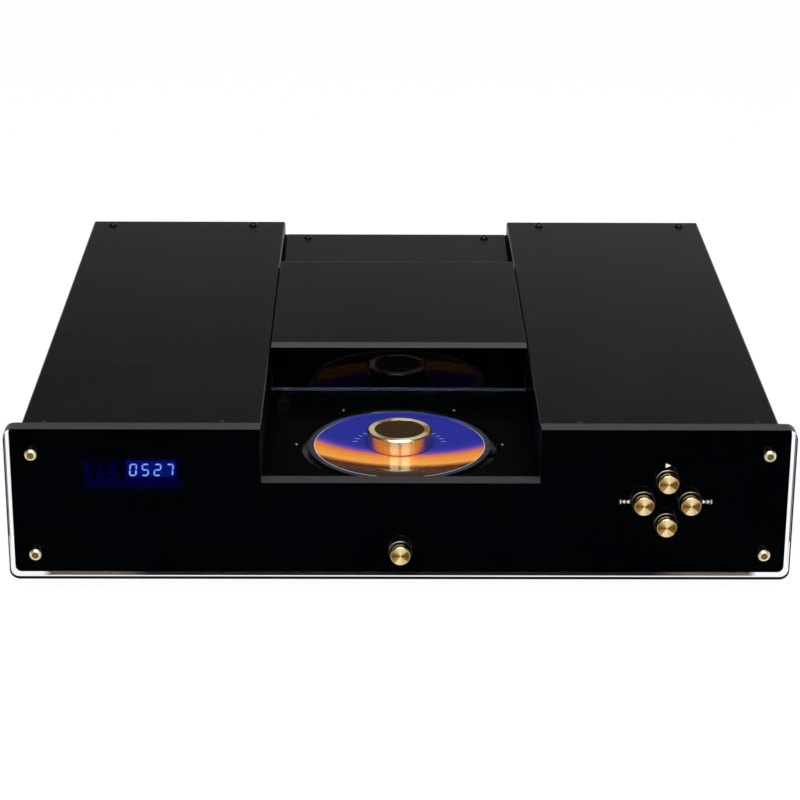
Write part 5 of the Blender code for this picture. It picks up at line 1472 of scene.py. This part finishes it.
def socket_screw(
    node: str,
    facing: Facing,
    finishes: Sequence[Finish],
    head: float,
    height: float,
    socket: float,
    depth: float,
    shank: float,
) -> None:
    """Domed screw with a hexagon socket, in place of its node.

    The dome's profile is the quarter ellipse (head * cos a, height * sin a), the socket's wall is a
    circle drawn in to a hexagon.

    Args:
        node: the CAD node that it stands for.
        facing: where the head looks.
        finishes: those of its head, its socket and its shank.
        head: the head's radius.
        height: the head's height.
        socket: circumscribed radius of the socket.
        depth: how deep the socket is.
        shank: the shank's radius.
    """
    low, high = (np.array(corner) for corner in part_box(node))
    x, y, z = (low + high) / 2
    out = np.array(facing.value[2], float)
    top = max(low @ out, high @ out)
    bottom = min(low @ out, high @ out)
    origin = np.array([x, y, z]) - out * (np.array([x, y, z]) @ out) + out * (top - height)
    length = top - height - bottom
    mouth = socket * 1.12
    angle = np.linspace(math.radians(8), math.radians(78), 12)
    angle = angle[head * np.cos(angle) > mouth + 0.0001]
    dome = np.stack([head * np.cos(angle), height * np.sin(angle), 0 * angle], 1).tolist()
    edge = height * math.sqrt(max(0.0, 1 - (mouth / head) ** 2))
    corners = [
        (0.0, -length, 0.0), (shank, -length, 0.0002), (shank, 0.0, 0.0), (head - 0.0002, 0.0, 0.0),
        (head, 0.0002, 0.0),
    ]
    start = len(corners)
    corners += dome + [
        (mouth, edge, 0.0), (socket, edge - 0.0002, 0.0), (socket, height - depth, 0.0),
        (0.0, height - depth - 0.0002, 0.0),
    ]
    line = Line.through(corners, closed=False, steps=3)
    normals = line.normals.copy()
    rows = np.arange(len(corners)).repeat(3)
    domed = (rows >= start) & (rows < start + len(dome))
    ellipse = np.stack([line.points[:, 0] / head**2, line.points[:, 1] / height**2], 1)
    normals[domed] = (ellipse / np.linalg.norm(ellipse, axis=1)[:, None])[domed]
    hexed = np.where(rows >= len(corners) - 3, 1.0, 0.0)
    strips = [2, 2, 2, 0, 0] + [0] * len(dome) + [1, 1, 1, 1]
    surface = turned(Line(line.points, normals), facing, tuple(origin), 48, hexed=hexed, strips=strips)
    add_piece(surface, f"{node}_dressed", "root", finishes, [node])


class Buttons:
    """The five gilt buttons, each riding on its own key."""

    NAMES = ("power_button", "play_button", "previous_button", "next_button", "stop_button")

    def build(self) -> None:
        """Turns each button: a barely dished face with a rounded rim, its cap and its stem."""
        for name in self.NAMES:
            low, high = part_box(name)
            x, z = (low.x + high.x) / 2, (low.z + high.z) / 2
            front, rear, radius, stem = -low.y, -high.y, 0.006, 0.003
            shoulder = -(PANEL_FACE_Y + 0.0084)
            corners = [
                (0.0, rear, 0.0), (stem, rear, 0.0003), (stem, shoulder, 0.0001), (radius, shoulder, 0.0003),
                (radius, front - 0.0003, 0.0001), (radius - 0.0003, front, 0.0001), (0.0, front - 0.0001, 0.0),
            ]
            line = Line.through(corners, closed=False)
            surface = turned(line, Facing.FRONT, (x, 0.0, z), 96, strips=[0, 0, 0, 0, 2, 1, 1])
            add_piece(
                surface, f"{name}_dressed", name.replace("_button", "_key"), [GILT, GILT_FACE, GILT_RIM],
                [name],
            )


@dataclass
class Display:
    """Blue display: its body, glass with a painted glow and four figures made of bars."""

    figures: str = "0527"
    width: float = 0.0047
    height: float = 0.0082
    pitch: float = 0.0075
    first_x: float = -0.1669
    low_z: float = 0.0768
    stroke: float = 0.00095
    slant: float = 0.09

    BARS = {
        "0": "abcdef", "1": "bc", "2": "abged", "3": "abgcd", "4": "fgbc", "5": "afgcd", "6": "afgedc", "7": "abc",
        "8": "abcdefg", "9": "abfgcd",
    }

    @staticmethod
    def window(inset: float = 0.0) -> tuple[tuple[float, float], tuple[float, float]]:
        """Low left and high right corners of the display's glass, drawn in by an inset."""
        low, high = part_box("display_module")
        return (low.x + 0.0066 + inset, low.z + 0.003 + inset), (high.x - 0.008 - inset, high.z - 0.0125 - inset)

    def bar(self, letter: str, x: float) -> Line:
        """Pointed bar of a figure, sheared to the right with height.

        Args:
            letter: which bar of the figure, by its usual letter.
            x: the figure's left side.

        Returns:
            The line.
        """
        w, h, s = self.width, self.height, self.stroke / 2
        mid, gap = h / 2, 0.0002
        ends = {
            "a": ((s, h - s), (w - s, h - s)), "g": ((s, mid), (w - s, mid)), "d": ((s, s), (w - s, s)),
            "f": ((s, mid), (s, h - s)), "b": ((w - s, mid), (w - s, h - s)),
            "e": ((s, s), (s, mid)), "c": ((w - s, s), (w - s, mid)),
        }[letter]
        (x0, z0), (x1, z1) = ends
        if z0 == z1:
            corners = [
                (x0 + gap, z0), (x0 + gap + s, z0 - s), (x1 - gap - s, z0 - s), (x1 - gap, z0), (x1 - gap - s, z0 + s),
                (x0 + gap + s, z0 + s),
            ]
        else:
            corners = [
                (x0, z0 + gap), (x0 + s, z0 + gap + s), (x0 + s, z1 - gap - s), (x0, z1 - gap), (x0 - s, z1 - gap - s),
                (x0 - s, z0 + gap + s),
            ]
        return Line.through([(x + a + self.slant * b, self.low_z + b, 0.0) for a, b in corners], steps=2)

    def build(self) -> None:
        """Makes the display's body, its glass with a painted glow, and the lit and faintly glowing unlit bars just in
        front of it.
        """
        low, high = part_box("display_module")
        face, start, end = -low.y, *self.window()
        case = Line.box((low.x, low.z), (high.x, high.z), 0.0015)
        body = [
            plate([case], -high.y, -(low.y + 0.0023), 0.0004, Facing.FRONT),
            plate([Line.box(start, end, 0.0008)], -(low.y + 0.0026), face - 0.00006, 0.0002, Facing.FRONT),
        ]
        last = self.first_x + (len(self.figures) - 1) * self.pitch + self.width
        glass_glow = PaintedGlassGlow("display_glass_painted_glow", start, end, (self.first_x, self.low_z), (last, self.low_z + self.height))
        add_piece(Surface.joined(body), "display_body", "root", [MOULDED], ["display_module"])
        behind = -PANEL_REAR_Y
        glass = plate(
            [Line.box(*self.window(0.0005), 0.001)], behind + 0.00001, behind + 0.00014, 0.00003, Facing.FRONT
        )
        add_piece(glass, "display_filter", "root", [glass_glow])
        face = behind + 0.0002
        lit, spare = [], []
        for index, figure in enumerate(self.figures):
            x = self.first_x + index * self.pitch
            for letter in "abcdefg":
                chosen = lit if letter in self.BARS[figure] else spare
                chosen.append(plate([self.bar(letter, x)], face - 0.00006, face - 0.00001, 0.0, Facing.FRONT))
        add_piece(Surface.joined(lit), "display_figures", "root", [DISPLAY_BARS])
        add_piece(Surface.joined(spare), "display_unlit_bars", "root", [DISPLAY_SPARE])


@dataclass
class Covers:
    """Folded side covers, the fixed rear cover with a dark tab of painted shade at each side, and their screws."""

    sheet: float = 0.002
    fold: float = 0.0016
    inner_x: float = 0.0853
    floor_z: float = 0.0673

    def side(self, name: str, way: int) -> None:
        """One bay's cover: its folded section drawn from front to back.

        Args:
            name: the cover's node.
            way: 1 at the right, -1 at the left.
        """
        low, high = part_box(name)
        outer, inner, top, t = max(abs(low.x), abs(high.x)), self.inner_x, high.z, self.sheet
        points = [
            (outer - t, low.z, 0.0003), (outer, low.z, 0.0003), (outer, top, self.fold), (inner, top, self.fold),
            (inner, self.floor_z, 0.0003), (inner + t, self.floor_z, 0.0003), (inner + t, top - t, 0.0003),
            (outer - t, top - t, 0.0003),
        ]
        if way < 0:
            points = [(-x, z, r) for x, z, r in reversed(points)]
        surface = plate([Line.through(points, steps=8)], -high.y, -low.y, 0.0003, Facing.FRONT)
        corner = surface.points[surface.faces]
        # Walls that face into the well get the darker coat, as painted shade.
        wall = (np.abs(corner[..., 0]).max(1) < inner + 0.0003) & (corner[..., 2].max(1) < top - self.fold * 0.4)
        surface.finish = wall.astype(int)
        add_piece(surface, f"{name}_skin", "root", [POWDER, WELL_SHADE_COAT], [name])

    def build(self) -> None:
        """Makes both side covers, the rear cover, its tabs of painted shade and all their screws."""
        self.side("left_cover", -1)
        self.side("right_cover", 1)
        low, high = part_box("centre_rear_cover")
        surface = plate([Line.box((low.x, low.y), (high.x, high.y), 0.0012)], low.z, high.z, 0.0004)
        add_piece(surface, "centre_rear_cover_skin", "root", [POWDER], ["centre_rear_cover"])
        # Dark tabs close the rear end of each gap beside the rear cover, as painted shade.
        shade_tabs = []
        for x in (-self.inner_x + 0.00005, high.x + 0.00005):
            end = (x + self.inner_x - high.x - 0.0001, high.y - 0.0002)
            section = Line.box((x, high.y - 0.0019), end, 0.0003)
            shade_tabs.append(plate([section], self.floor_z + 0.0007, high.z - 0.0001, 0.0001))
        add_piece(Surface.joined(shade_tabs), "rear_gap_shade_tabs", "root", [RUBBER])
        screws = [f"cover_screw_{index}" for index in range(1, 5)]
        screws += [f"centre_cover_screw_{index}" for index in range(1, 3)]
        for node in screws:
            socket_screw(
                node, Facing.TOP, [SCREW_BLACK, SHADE, SCREW_BLACK],
                head=0.00325, height=0.0019, socket=0.0012, depth=0.0011, shank=0.0015,
            )
        spots = [(x, -0.2037, 0.109) for x in (-0.219, -0.110, 0.110, 0.219)]
        small_screws(spots, "cover_front_screws", SCREW_BLACK, head=0.0019, height=0.0009)


def small_screws(
    spots: Sequence[Spot],
    name: str,
    finish: Finish,
    head: float,
    height: float,
    facing: Facing = Facing.TOP,
) -> None:
    """Row of small domed screws with a round socket, as one piece.

    Args:
        spots: where each head's seat is.
        name: the piece's name.
        finish: its finish.
        head: the heads' radius.
        height: the heads' height.
        facing: where the heads look.
    """
    corners = [
        (0.0, -0.0001, 0.0), (head, -0.0001, 0.0), (head, height * 0.35, height * 0.3),
        (head * 0.62, height, height * 0.3), (head * 0.36, height, 0.0), (head * 0.30, height * 0.45, 0.0),
        (0.0, height * 0.40, 0.0),
    ]
    line = Line.through(corners, closed=False, steps=4)
    hexed = np.where(np.arange(len(corners)).repeat(4) >= 5, 1.0, 0.0)
    surface = Surface.joined([turned(line, facing, spot, 24, hexed=hexed) for spot in spots])
    add_piece(surface, name, "root", [finish])


@dataclass
class Lid:
    """Sliding lid: folded plate, clear fascia with its film, and runners."""

    thick: float = 0.003
    skirt: float = 0.002
    margin: float = 0.0002
    film: float = 0.0004
    foot_light: float = 0.0009
    side_light: float = 0.0003
    rear_roll: float = 3.0

    def build(self) -> None:
        """Makes the plate's skin, its rear edge rolled over a longer ellipse, and the fascia's slab and film."""
        low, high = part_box("lid_plate")
        half, inner = high.x, high.x - self.skirt
        right = [
            (inner, high.z - self.thick, 0.0003), (inner, low.z, 0.0003), (half, low.z, 0.0003), (half, high.z, 0.0006)
        ]
        points = right + [(-x, z, r) for x, z, r in reversed(right)]
        surface = plate([Line.through(points, steps=6)], -high.y, -low.y, 0.0003, Facing.FRONT)
        behind = surface.points[:, 1] > high.y - 0.00031
        surface.points[behind, 1] = high.y - self.rear_roll * (high.y - surface.points[behind, 1])
        normals = surface.normals
        normals[..., 1] = np.where(behind[surface.faces], normals[..., 1] / self.rear_roll, normals[..., 1])
        normals /= np.linalg.norm(normals, axis=2)[..., None]
        # The plate's sides, which face the covers' walls, get the darker coat, as painted shade.
        surface.finish = (np.abs(normals.mean(1)[:, 0]) > 0.3).astype(int)
        add_piece(surface, "lid_plate_skin", "lid", [POWDER, WELL_SHADE_COAT], ["lid_plate"])
        low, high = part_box("lid_fascia")
        outer = Line.box((low.x, low.z), (high.x, high.z), 0.0006)
        clear = plate([outer], -high.y + self.film + 0.00005, -low.y, 0.0003, Facing.FRONT)
        out = clear.normals.mean(1)
        # The fascia's upper edges take the satin grey with its painted sheen.
        clear.finish = np.where((clear.finish == 1) & (out[:, 2] > 0.4), 2, np.where(out[:, 1] > 0.9, 1, 0))
        add_piece(
            clear, "fascia_clear", "lid", [FASCIA_FACE, FASCIA_BACK, FASCIA_EDGE], ["lid_fascia"]
        )
        m = self.margin
        inner = Line.box((low.x + m, low.z + m), (high.x - m, high.z - m), 0.0004)
        parts = [plate([inner], -high.y, -high.y + self.film, 0.00005, Facing.FRONT)]
        front = -high.y + self.film
        # The strips on the film are painted light: a pale line along its foot and thin lines up its sides, where the
        # clear edges would catch light.
        strips = [((low.x + m, low.z + m), (high.x - m, low.z + m + self.foot_light), 1)]
        foot = low.z + m + self.foot_light + 0.00002
        strips += [
            ((x, foot), (x + self.side_light, low.z + 0.009), 2) for x in (low.x + m, high.x - m - self.side_light)
        ]
        parts += [
            plate([Line.box(start, end, 0.0001)], front, front + 0.00004, 0.0, Facing.FRONT).finished(index)
            for start, end, index in strips
        ]
        add_piece(Surface.joined(parts), "fascia_backing", "lid", [FILM, FOOT_LIGHT, SAWN_EDGE])
        for name in ("left_runner", "right_runner"):
            dress_node(name, ZINC)


@dataclass
class Well:
    """Open disc well: its folded floor, six small screws and the lid's switch."""

    screws: tuple = ((0.0664, -0.1355), (0.0369, -0.0745), (0.0369, -0.1985))
    floor_z: float = 0.067

    def build(self) -> None:
        """Dresses the tray, adds its screws and shapes the switch."""
        # The tray gets the darker coat, as painted shade.
        dress_node("well_tray", WELL_SHADE_COAT)
        spots = [(side * x, y, self.floor_z) for x, y in self.screws for side in (-1, 1)]
        small_screws(spots, "well_floor_screws", FLOOR_SCREW, head=0.0014, height=0.0008)
        low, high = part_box("lid_switch")
        box = plate([Line.box((low.x, low.y), (high.x, high.y), 0.0008)], low.z, low.z + 0.0085, 0.0004)
        x, y = (low.x + high.x) / 2, (low.y + high.y) / 2
        corners = [
            (0.0, low.z + 0.0083, 0.0), (0.0017, low.z + 0.0083, 0.0), (0.0017, high.z, 0.0006), (0.0, high.z, 0.0)
        ]
        knob = turned(Line.through(corners, closed=False), Facing.TOP, (x, y, 0.0), 24)
        add_piece(Surface.joined([box, knob]), "lid_switch_dressed", "root", [SHADE], ["lid_switch"])


@dataclass
class DiscAndClamp:
    """Disc on its turntable, held by a loose brass clamp."""

    disc_radius: float = 0.060
    print_radius: float = 0.0551
    silver_radius: float = 0.0585
    bore: float = 0.0075
    clamp_radius: float = 0.02075
    inlay_radius: float = 0.016
    label: float = 0.00006

    def build(self) -> None:
        """Turns the disc's clear body, its print over the silver layer, and the clamp with its inlay."""
        low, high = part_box("disc")
        axis = (0.0, AXIS_Y, 0.0)
        top = high.z - self.label
        body = Line.through(
            [
                (self.bore, low.z, 0.0002), (self.disc_radius, low.z, 0.0002), (self.disc_radius, top, 0.0002),
                (self.bore, top, 0.0002),
            ],
            steps=4,
        )
        add_piece(
            turned(body, Facing.TOP, axis, 192, ring=True), "disc_body", "loaded_disc", [POLYCARBONATE],
            ["disc"],
        )
        inner, outer = 0.0115, self.print_radius
        layer = Line.through(
            [
                (inner, top + 0.00001, 0.0), (outer, top + 0.00001, 0.0), (outer, high.z, 0.00002),
                (inner, high.z, 0.00002),
            ],
            steps=3,
        )
        surface = turned(layer, Facing.TOP, axis, 192, ring=True)
        surface.finish = np.where(surface.normals.sum(1)[:, 2] < -2, 1, 0)
        start, rise = outer + 0.00001, high.z - 0.00002
        edge = Line.through(
            [
                (start, top + 0.00001, 0.0), (self.silver_radius, top + 0.00001, 0.0),
                (self.silver_radius, rise, 0.00001), (start, rise, 0.00001),
            ],
            steps=3,
        )
        silver = turned(edge, Facing.TOP, axis, 192, ring=True).finished(2)
        finishes = [DiscPrint("disc_print"), DiscMirror("disc_silver"), DISC_EDGE]
        add_piece(Surface.joined([surface, silver]), "disc_print", "loaded_disc", finishes)
        self.clamp(axis)
        dress_node("turntable_hub", MOULDED)

    def clamp(self, axis: Spot) -> None:
        """Turns the clamp: flank with a softened rim, shallow seat for the inlay and the recess beneath.

        Args:
            axis: a point on the spindle's axis at height 0.
        """
        low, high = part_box("disc_clamp")
        r, seat = self.clamp_radius, high.z - 0.0004
        corners = [
            (0.0, low.z + 0.0034, 0.0), (0.0082, low.z + 0.0034, 0.0), (0.0082, low.z, 0.0003),
            (r - 0.0004, low.z, 0.0), (r, low.z + 0.0004, 0.0002), (r, high.z - 0.0010, 0.0002),
            (r - 0.0010, high.z, 0.0002), (self.inlay_radius, high.z, 0.0001), (self.inlay_radius, seat, 0.0),
            (0.0, seat, 0.0),
        ]
        line = Line.through(corners, closed=False)
        body = turned(line, Facing.TOP, axis, 192, strips=[0, 0, 0, 0, 0, 2, 1, 0, 0, 0])
        add_piece(body, "clamp_body", "clamp", [BRASS, BRASS_RING, BRASS_RIM], ["disc_clamp"])
        under, face, rim = seat + 0.00002, seat + 0.0002, self.inlay_radius - 0.00005
        corners = [
            (0.0, under, 0.0), (rim, under, 0.0), (rim, face, 0.0001), (0.0102, face, 0.0), (0.0099, face, 0.0),
            (0.0074, face, 0.0), (0.0072, face, 0.0), (0.0, face, 0.0),
        ]
        inlay = turned(Line.through(corners, closed=False), Facing.TOP, axis, 96, strips=[0, 0, 0, 1, 0, 1, 0, 0])
        add_piece(inlay, "clamp_inlay", "clamp", [INLAY, INLAY_RING])


class Feet:
    """Four turned feet: a gilt ring round a rubber pad."""

    def build(self) -> None:
        """Turns each foot in place of its node."""
        for index in range(1, 5):
            name = f"foot_{index}"
            low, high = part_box(name)
            spot = ((low.x + high.x) / 2, (low.y + high.y) / 2, 0.0)
            r, top = 0.021, high.z
            ring = Line.through(
                [
                    (0.0, 0.005, 0.0), (0.012, 0.005, 0.0), (0.0165, 0.0022, 0.0005), (r - 0.0006, 0.0016, 0.0005),
                    (r, 0.003, 0.0008), (r, 0.0062, 0.001), (0.018, top, 0.0008), (0.0, top, 0.0),
                ],
                closed=False,
            )
            pad = Line.through(
                [(0.007, 0.0, 0.0005), (0.0172, 0.0, 0.0006), (0.0172, 0.0030, 0.0003), (0.007, 0.0046, 0.0003)],
                steps=4,
            )
            add_piece(turned(ring, Facing.TOP, spot, 96), f"{name}_ring", "root", [GILT], [name])
            add_piece(turned(pad, Facing.TOP, spot, 64, ring=True), f"{name}_pad", "root", [RUBBER])


class Rear:
    """Rear panel with its sockets, and the screws of the rear and the underside."""

    FINISHES = {
        "mains_inlet": MOULDED, "fuse_drawer": MOULDED, "balanced_output_left": SOCKET_METAL,
        "balanced_output_right": SOCKET_METAL, "line_output_sockets": PIN_GOLD, "digital_output": PIN_GOLD,
        "rear_panel": SATIN_STEEL,
    }

    def build(self) -> None:
        """Dresses the sockets' nodes and adds screws and the sockets' insulating rings."""
        for name, finish in self.FINISHES.items():
            dress_node(name, finish)
        flanges = []
        for name in ("balanced_output_left", "balanced_output_right"):
            low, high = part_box(name)
            flanges += [(low.x + 0.0034, high.y, high.z - 0.0034), (high.x - 0.0034, high.y, low.z + 0.0034)]
            x, _, z = middle(name)
            deep, mouth = high.y - 0.0139, high.y - 0.0004
            cup = Line.through(
                [
                    (0.0, deep, 0.0), (0.00945, deep, 0.0), (0.00945, mouth, 0.0), (0.0092, mouth, 0.0),
                    (0.0092, deep + 0.0002, 0.0), (0.0, deep + 0.0002, 0.0),
                ],
                closed=False,
                steps=2,
            )
            add_piece(turned(cup, Facing.REAR, (x, 0.0, z), 64), f"{name}_liner", "root", [MOULDED])
        self.screws(flanges, "socket_screws", 0.0022, 0.0012, Facing.REAR)
        self.insulators()
        x, _, z = middle("mains_inlet")
        self.screws([(x + side * 0.020, 0.220, z) for side in (-1, 1)], "inlet_screws", 0.0026, 0.0014, Facing.REAR)
        spots = [(x, 0.2175, z) for x in (-0.222, -0.076, 0.076, 0.222) for z in (0.0205, 0.090)]
        self.screws(spots, "rear_panel_screws", 0.0028, 0.0015, Facing.REAR)
        spots = [(x, y, 0.0128) for x in (-0.216, 0.0, 0.216) for y in (-0.195, 0.0, 0.203)]
        self.screws(spots, "underside_screws", 0.0030, 0.0016, Facing.UNDER)
        feet = [middle(f"foot_{index}") for index in range(1, 5)]
        self.screws([(x, y, 0.005) for x, y, _ in feet], "foot_screws", 0.0046, 0.0024, Facing.UNDER)

    def screws(self, spots: Sequence[Spot], name: str, head: float, height: float, facing: Facing) -> None:
        """Black steel screws of one size."""
        small_screws(spots, name, SCREW_BLACK, head, height, facing)

    def insulators(self) -> None:
        """Turns the coloured ring round the root of each round socket."""
        x, _, z = middle("line_output_sockets")
        far, _, level = middle("digital_output")
        sizes = (x, z + 0.009, 0.0041, 0.0062), (x, z - 0.009, 0.0041, 0.0062), (far, level, 0.0047, 0.0072)
        seat, rings = 0.2199, []
        for index, (across, up, inner, outer) in enumerate(sizes):
            ring = Line.through(
                [
                    (inner, seat, 0.0), (outer, seat, 0.0), (outer, seat + 0.0014, 0.0004),
                    (inner, seat + 0.0014, 0.0002),
                ],
                steps=4,
            )
            rings.append(turned(ring, Facing.REAR, (across, 0.0, up), 48, ring=True).finished(index))
        add_piece(Surface.joined(rings), "socket_insulators", "root", [RING_WHITE, RING_RED, MOULDED])


class Inside:
    """Parts inside the casing, which keep their CAD shapes."""

    FINISHES = {
        "front_subplate": SATIN_STEEL, "base_pan": SATIN_STEEL, "lid_guide": NYLON,
        "transport_plate": ZINC, "sled_rod_1": ZINC, "sled_rod_2": ZINC, "spindle_motor": ZINC, "sled_motor": ZINC,
        "transport_mount_1": RUBBER, "transport_mount_2": RUBBER, "transport_mount_3": RUBBER,
        "laser_sled": MOULDED, "drive_gear": NYLON, "power_switch": MOULDED, "transformer_clamp": ZINC,
        "mains_transformer": Winding("core_winding"),
        "button_board": BoardLacquer("board_lacquer"), "servo_board": BoardLacquer("board_lacquer"),
        "converter_board": BoardLacquer("board_lacquer"), "power_supply_board": BoardLacquer("board_lacquer"),
    }

    def build(self) -> None:
        """Dresses each node."""
        for name, finish in self.FINISHES.items():
            dress_node(name, finish)


@dataclass
class Studio:
    """White floor, two tall softboxes, a plain world and the camera."""

    yaw: float = -0.0103
    pitch: float = 0.3654
    roll: float = 0.0057
    lens: float = 112.36
    camera_spot: Spot = (-0.0152, -1.6292, 0.6693)
    aim: Spot = (0.0, -0.14, 0.08)
    floor_low: tuple[float, float] = (-4.0, -3.0)
    floor_high: tuple[float, float] = (4.0, 4.5)
    box_turns: tuple[float, ...] = (-19.0, 22.0)
    box_height: float = 41.0
    box_distance: float = 1.8
    box_size: tuple[float, float] = (0.9, 1.5)
    box_level: float = 3.1
    sky_level: float = 0.022
    sky_slope: float = 0.15
    roof_level: float = 1.65
    strip_level: float = 11.0

    def floor(self) -> None:
        """Level floor of a grid, white to the camera, glossy and transmission rays but for the object's shadow."""
        across = np.linspace(self.floor_low[0], self.floor_high[0], 9)
        along = np.linspace(self.floor_low[1], self.floor_high[1], 9)
        x, y = np.meshgrid(across, along, indexing="ij")
        points = np.stack([x, y, np.zeros_like(x)], 2)
        normals = np.zeros_like(points)
        normals[..., 2] = 1.0
        obj = bpy.data.objects.new("floor", Surface.woven(points, normals, columns_close=False).mesh("floor"))
        bpy.context.scene.collection.objects.link(obj)
        material = bpy.data.materials.new("studio_floor")
        material.use_nodes = True
        tree = material.node_tree
        tree.nodes.remove(tree.nodes["Principled BSDF"])
        nodes = Nodes(tree)
        path = nodes.add("LightPath")
        seen = nodes.math(
            "MAXIMUM", path.outputs["Is Camera Ray"],
            nodes.math("MAXIMUM", path.outputs["Is Glossy Ray"], path.outputs["Is Transmission Ray"]),
        )
        lit = nodes.add("BsdfDiffuse", {"Color": (0.9, 0.9, 0.9, 1.0)})
        white = nodes.add("Emission", {"Color": (1.0, 1.0, 1.0, 1.0), "Strength": 1.02})
        mix = nodes.add("MixShader", {0: nodes.math("MULTIPLY", seen, 0.95), 1: lit.outputs[0], 2: white.outputs[0]})
        under = nodes.add("NewGeometry").outputs["Backfacing"]
        clear = nodes.add("BsdfTransparent").outputs[0]
        seen_through = nodes.add("MixShader", {0: under, 1: mix.outputs[0], 2: clear})
        nodes.fill(tree.nodes["Material Output"], {"Surface": seen_through.outputs[0]})
        obj.data.materials.append(material)

    def sky(self) -> None:
        """World that is white at the horizon and plain grey above."""
        world = bpy.data.worlds.new("studio")
        bpy.context.scene.world = world
        world.use_nodes = True
        nodes = Nodes(world.node_tree)
        place = nodes.add("SeparateXYZ", {0: nodes.add("TexCoord").outputs["Generated"]})
        height = nodes.math("MULTIPLY_ADD", place.outputs["X"], -self.sky_slope, place.outputs["Z"])
        colour = nodes.blend(nodes.step(height, 0.02, 0.405), (1.0, 1.0, 1.0), (self.sky_level,) * 3)
        background = world.node_tree.nodes["Background"]
        nodes.fill(background, {"Color": colour, "Strength": 1.0})

    def stand(self, data: bpy.types.ID, axes: Sequence[np.ndarray], spot: Spot) -> bpy.types.Object:
        """Puts a lamp or the camera at a place, its own axes along the given directions.

        Args:
            data: the lamp or camera.
            axes: directions of its own x, y and z.
            spot: its place.

        Returns:
            The object.
        """
        obj = bpy.data.objects.new(data.name, data)
        bpy.context.scene.collection.objects.link(obj)
        rows = [[*row, place] for row, place in zip(np.stack(axes, 1).tolist(), spot)]
        obj.matrix_world = Matrix([*rows, [0, 0, 0, 1]])
        return obj

    def softboxes(self) -> None:
        """Tall area lights in front, at a turn and height about the disc well."""
        for index, turn in enumerate(self.box_turns):
            light = bpy.data.lights.new(f"softbox_{index}", "AREA")
            light.shape, light.size, light.size_y = "RECTANGLE", *self.box_size
            light.energy = self.box_level * self.box_size[0] * self.box_size[1] * math.pi
            a, e = math.radians(turn), math.radians(self.box_height)
            away = np.array([math.cos(e) * math.sin(a), -math.cos(e) * math.cos(a), math.sin(e)])
            right = np.array([math.cos(a), math.sin(a), 0.0])
            up = np.cross(away, right)
            spot = np.array(self.aim) + self.box_distance * away
            self.stand(light, (right, up, away), spot.tolist()).visible_camera = False

    def roof(self) -> None:
        """Wide soft light overhead, and two narrow ones before and behind it."""
        panels = [("roof", (0.0, -0.35, 1.9), (1.4, 1.3), self.roof_level)]
        panels += [
            (f"strip_{index}", (0.0, y, 1.85), (1.5, 0.13), self.strip_level) for index, y in enumerate((-0.82, 0.56))
        ]
        for name, spot, (wide, deep), level in panels:
            light = bpy.data.lights.new(name, "AREA")
            light.shape, light.size, light.size_y = "RECTANGLE", wide, deep
            light.energy = level * wide * deep * math.pi
            self.stand(light, np.eye(3), spot).visible_camera = False

    def camera(self) -> None:
        """Camera at the photograph's angle."""
        yaw, pitch, roll = self.yaw, self.pitch, self.roll
        side = np.array([math.cos(yaw), math.sin(yaw), 0.0])
        ahead = np.array([-math.sin(yaw) * math.cos(pitch), math.cos(yaw) * math.cos(pitch), -math.sin(pitch)])
        up = np.array([-math.sin(yaw) * math.sin(pitch), math.cos(yaw) * math.sin(pitch), math.cos(pitch)])
        right = math.cos(roll) * side + math.sin(roll) * up
        over = -math.sin(roll) * side + math.cos(roll) * up
        data = bpy.data.cameras.new("camera")
        data.lens, data.sensor_width, data.clip_end = self.lens, 36.0, 50.0
        data.sensor_fit = "HORIZONTAL"
        bpy.context.scene.camera = self.stand(data, (right, over, -ahead), self.camera_spot)

    def build(self) -> None:
        """Sets the stage and the view's colours."""
        self.floor()
        self.sky()
        self.softboxes()
        self.roof()
        self.camera()
        bpy.context.scene.view_settings.view_transform = "Standard"


def main() -> None:
    """Builds the stage and every sub-assembly."""
    logging.basicConfig(level=logging.INFO, format="%(name)s: %(message)s")
    Studio().build()
    for assembly in (
        FrontPanel(), Buttons(), Display(), Covers(), Lid(), Well(), DiscAndClamp(), Feet(), Rear(), Inside()
    ):
        assembly.build()
        LOG.info("built %s", type(assembly).__name__)


if __name__ == "__main__":
    main()
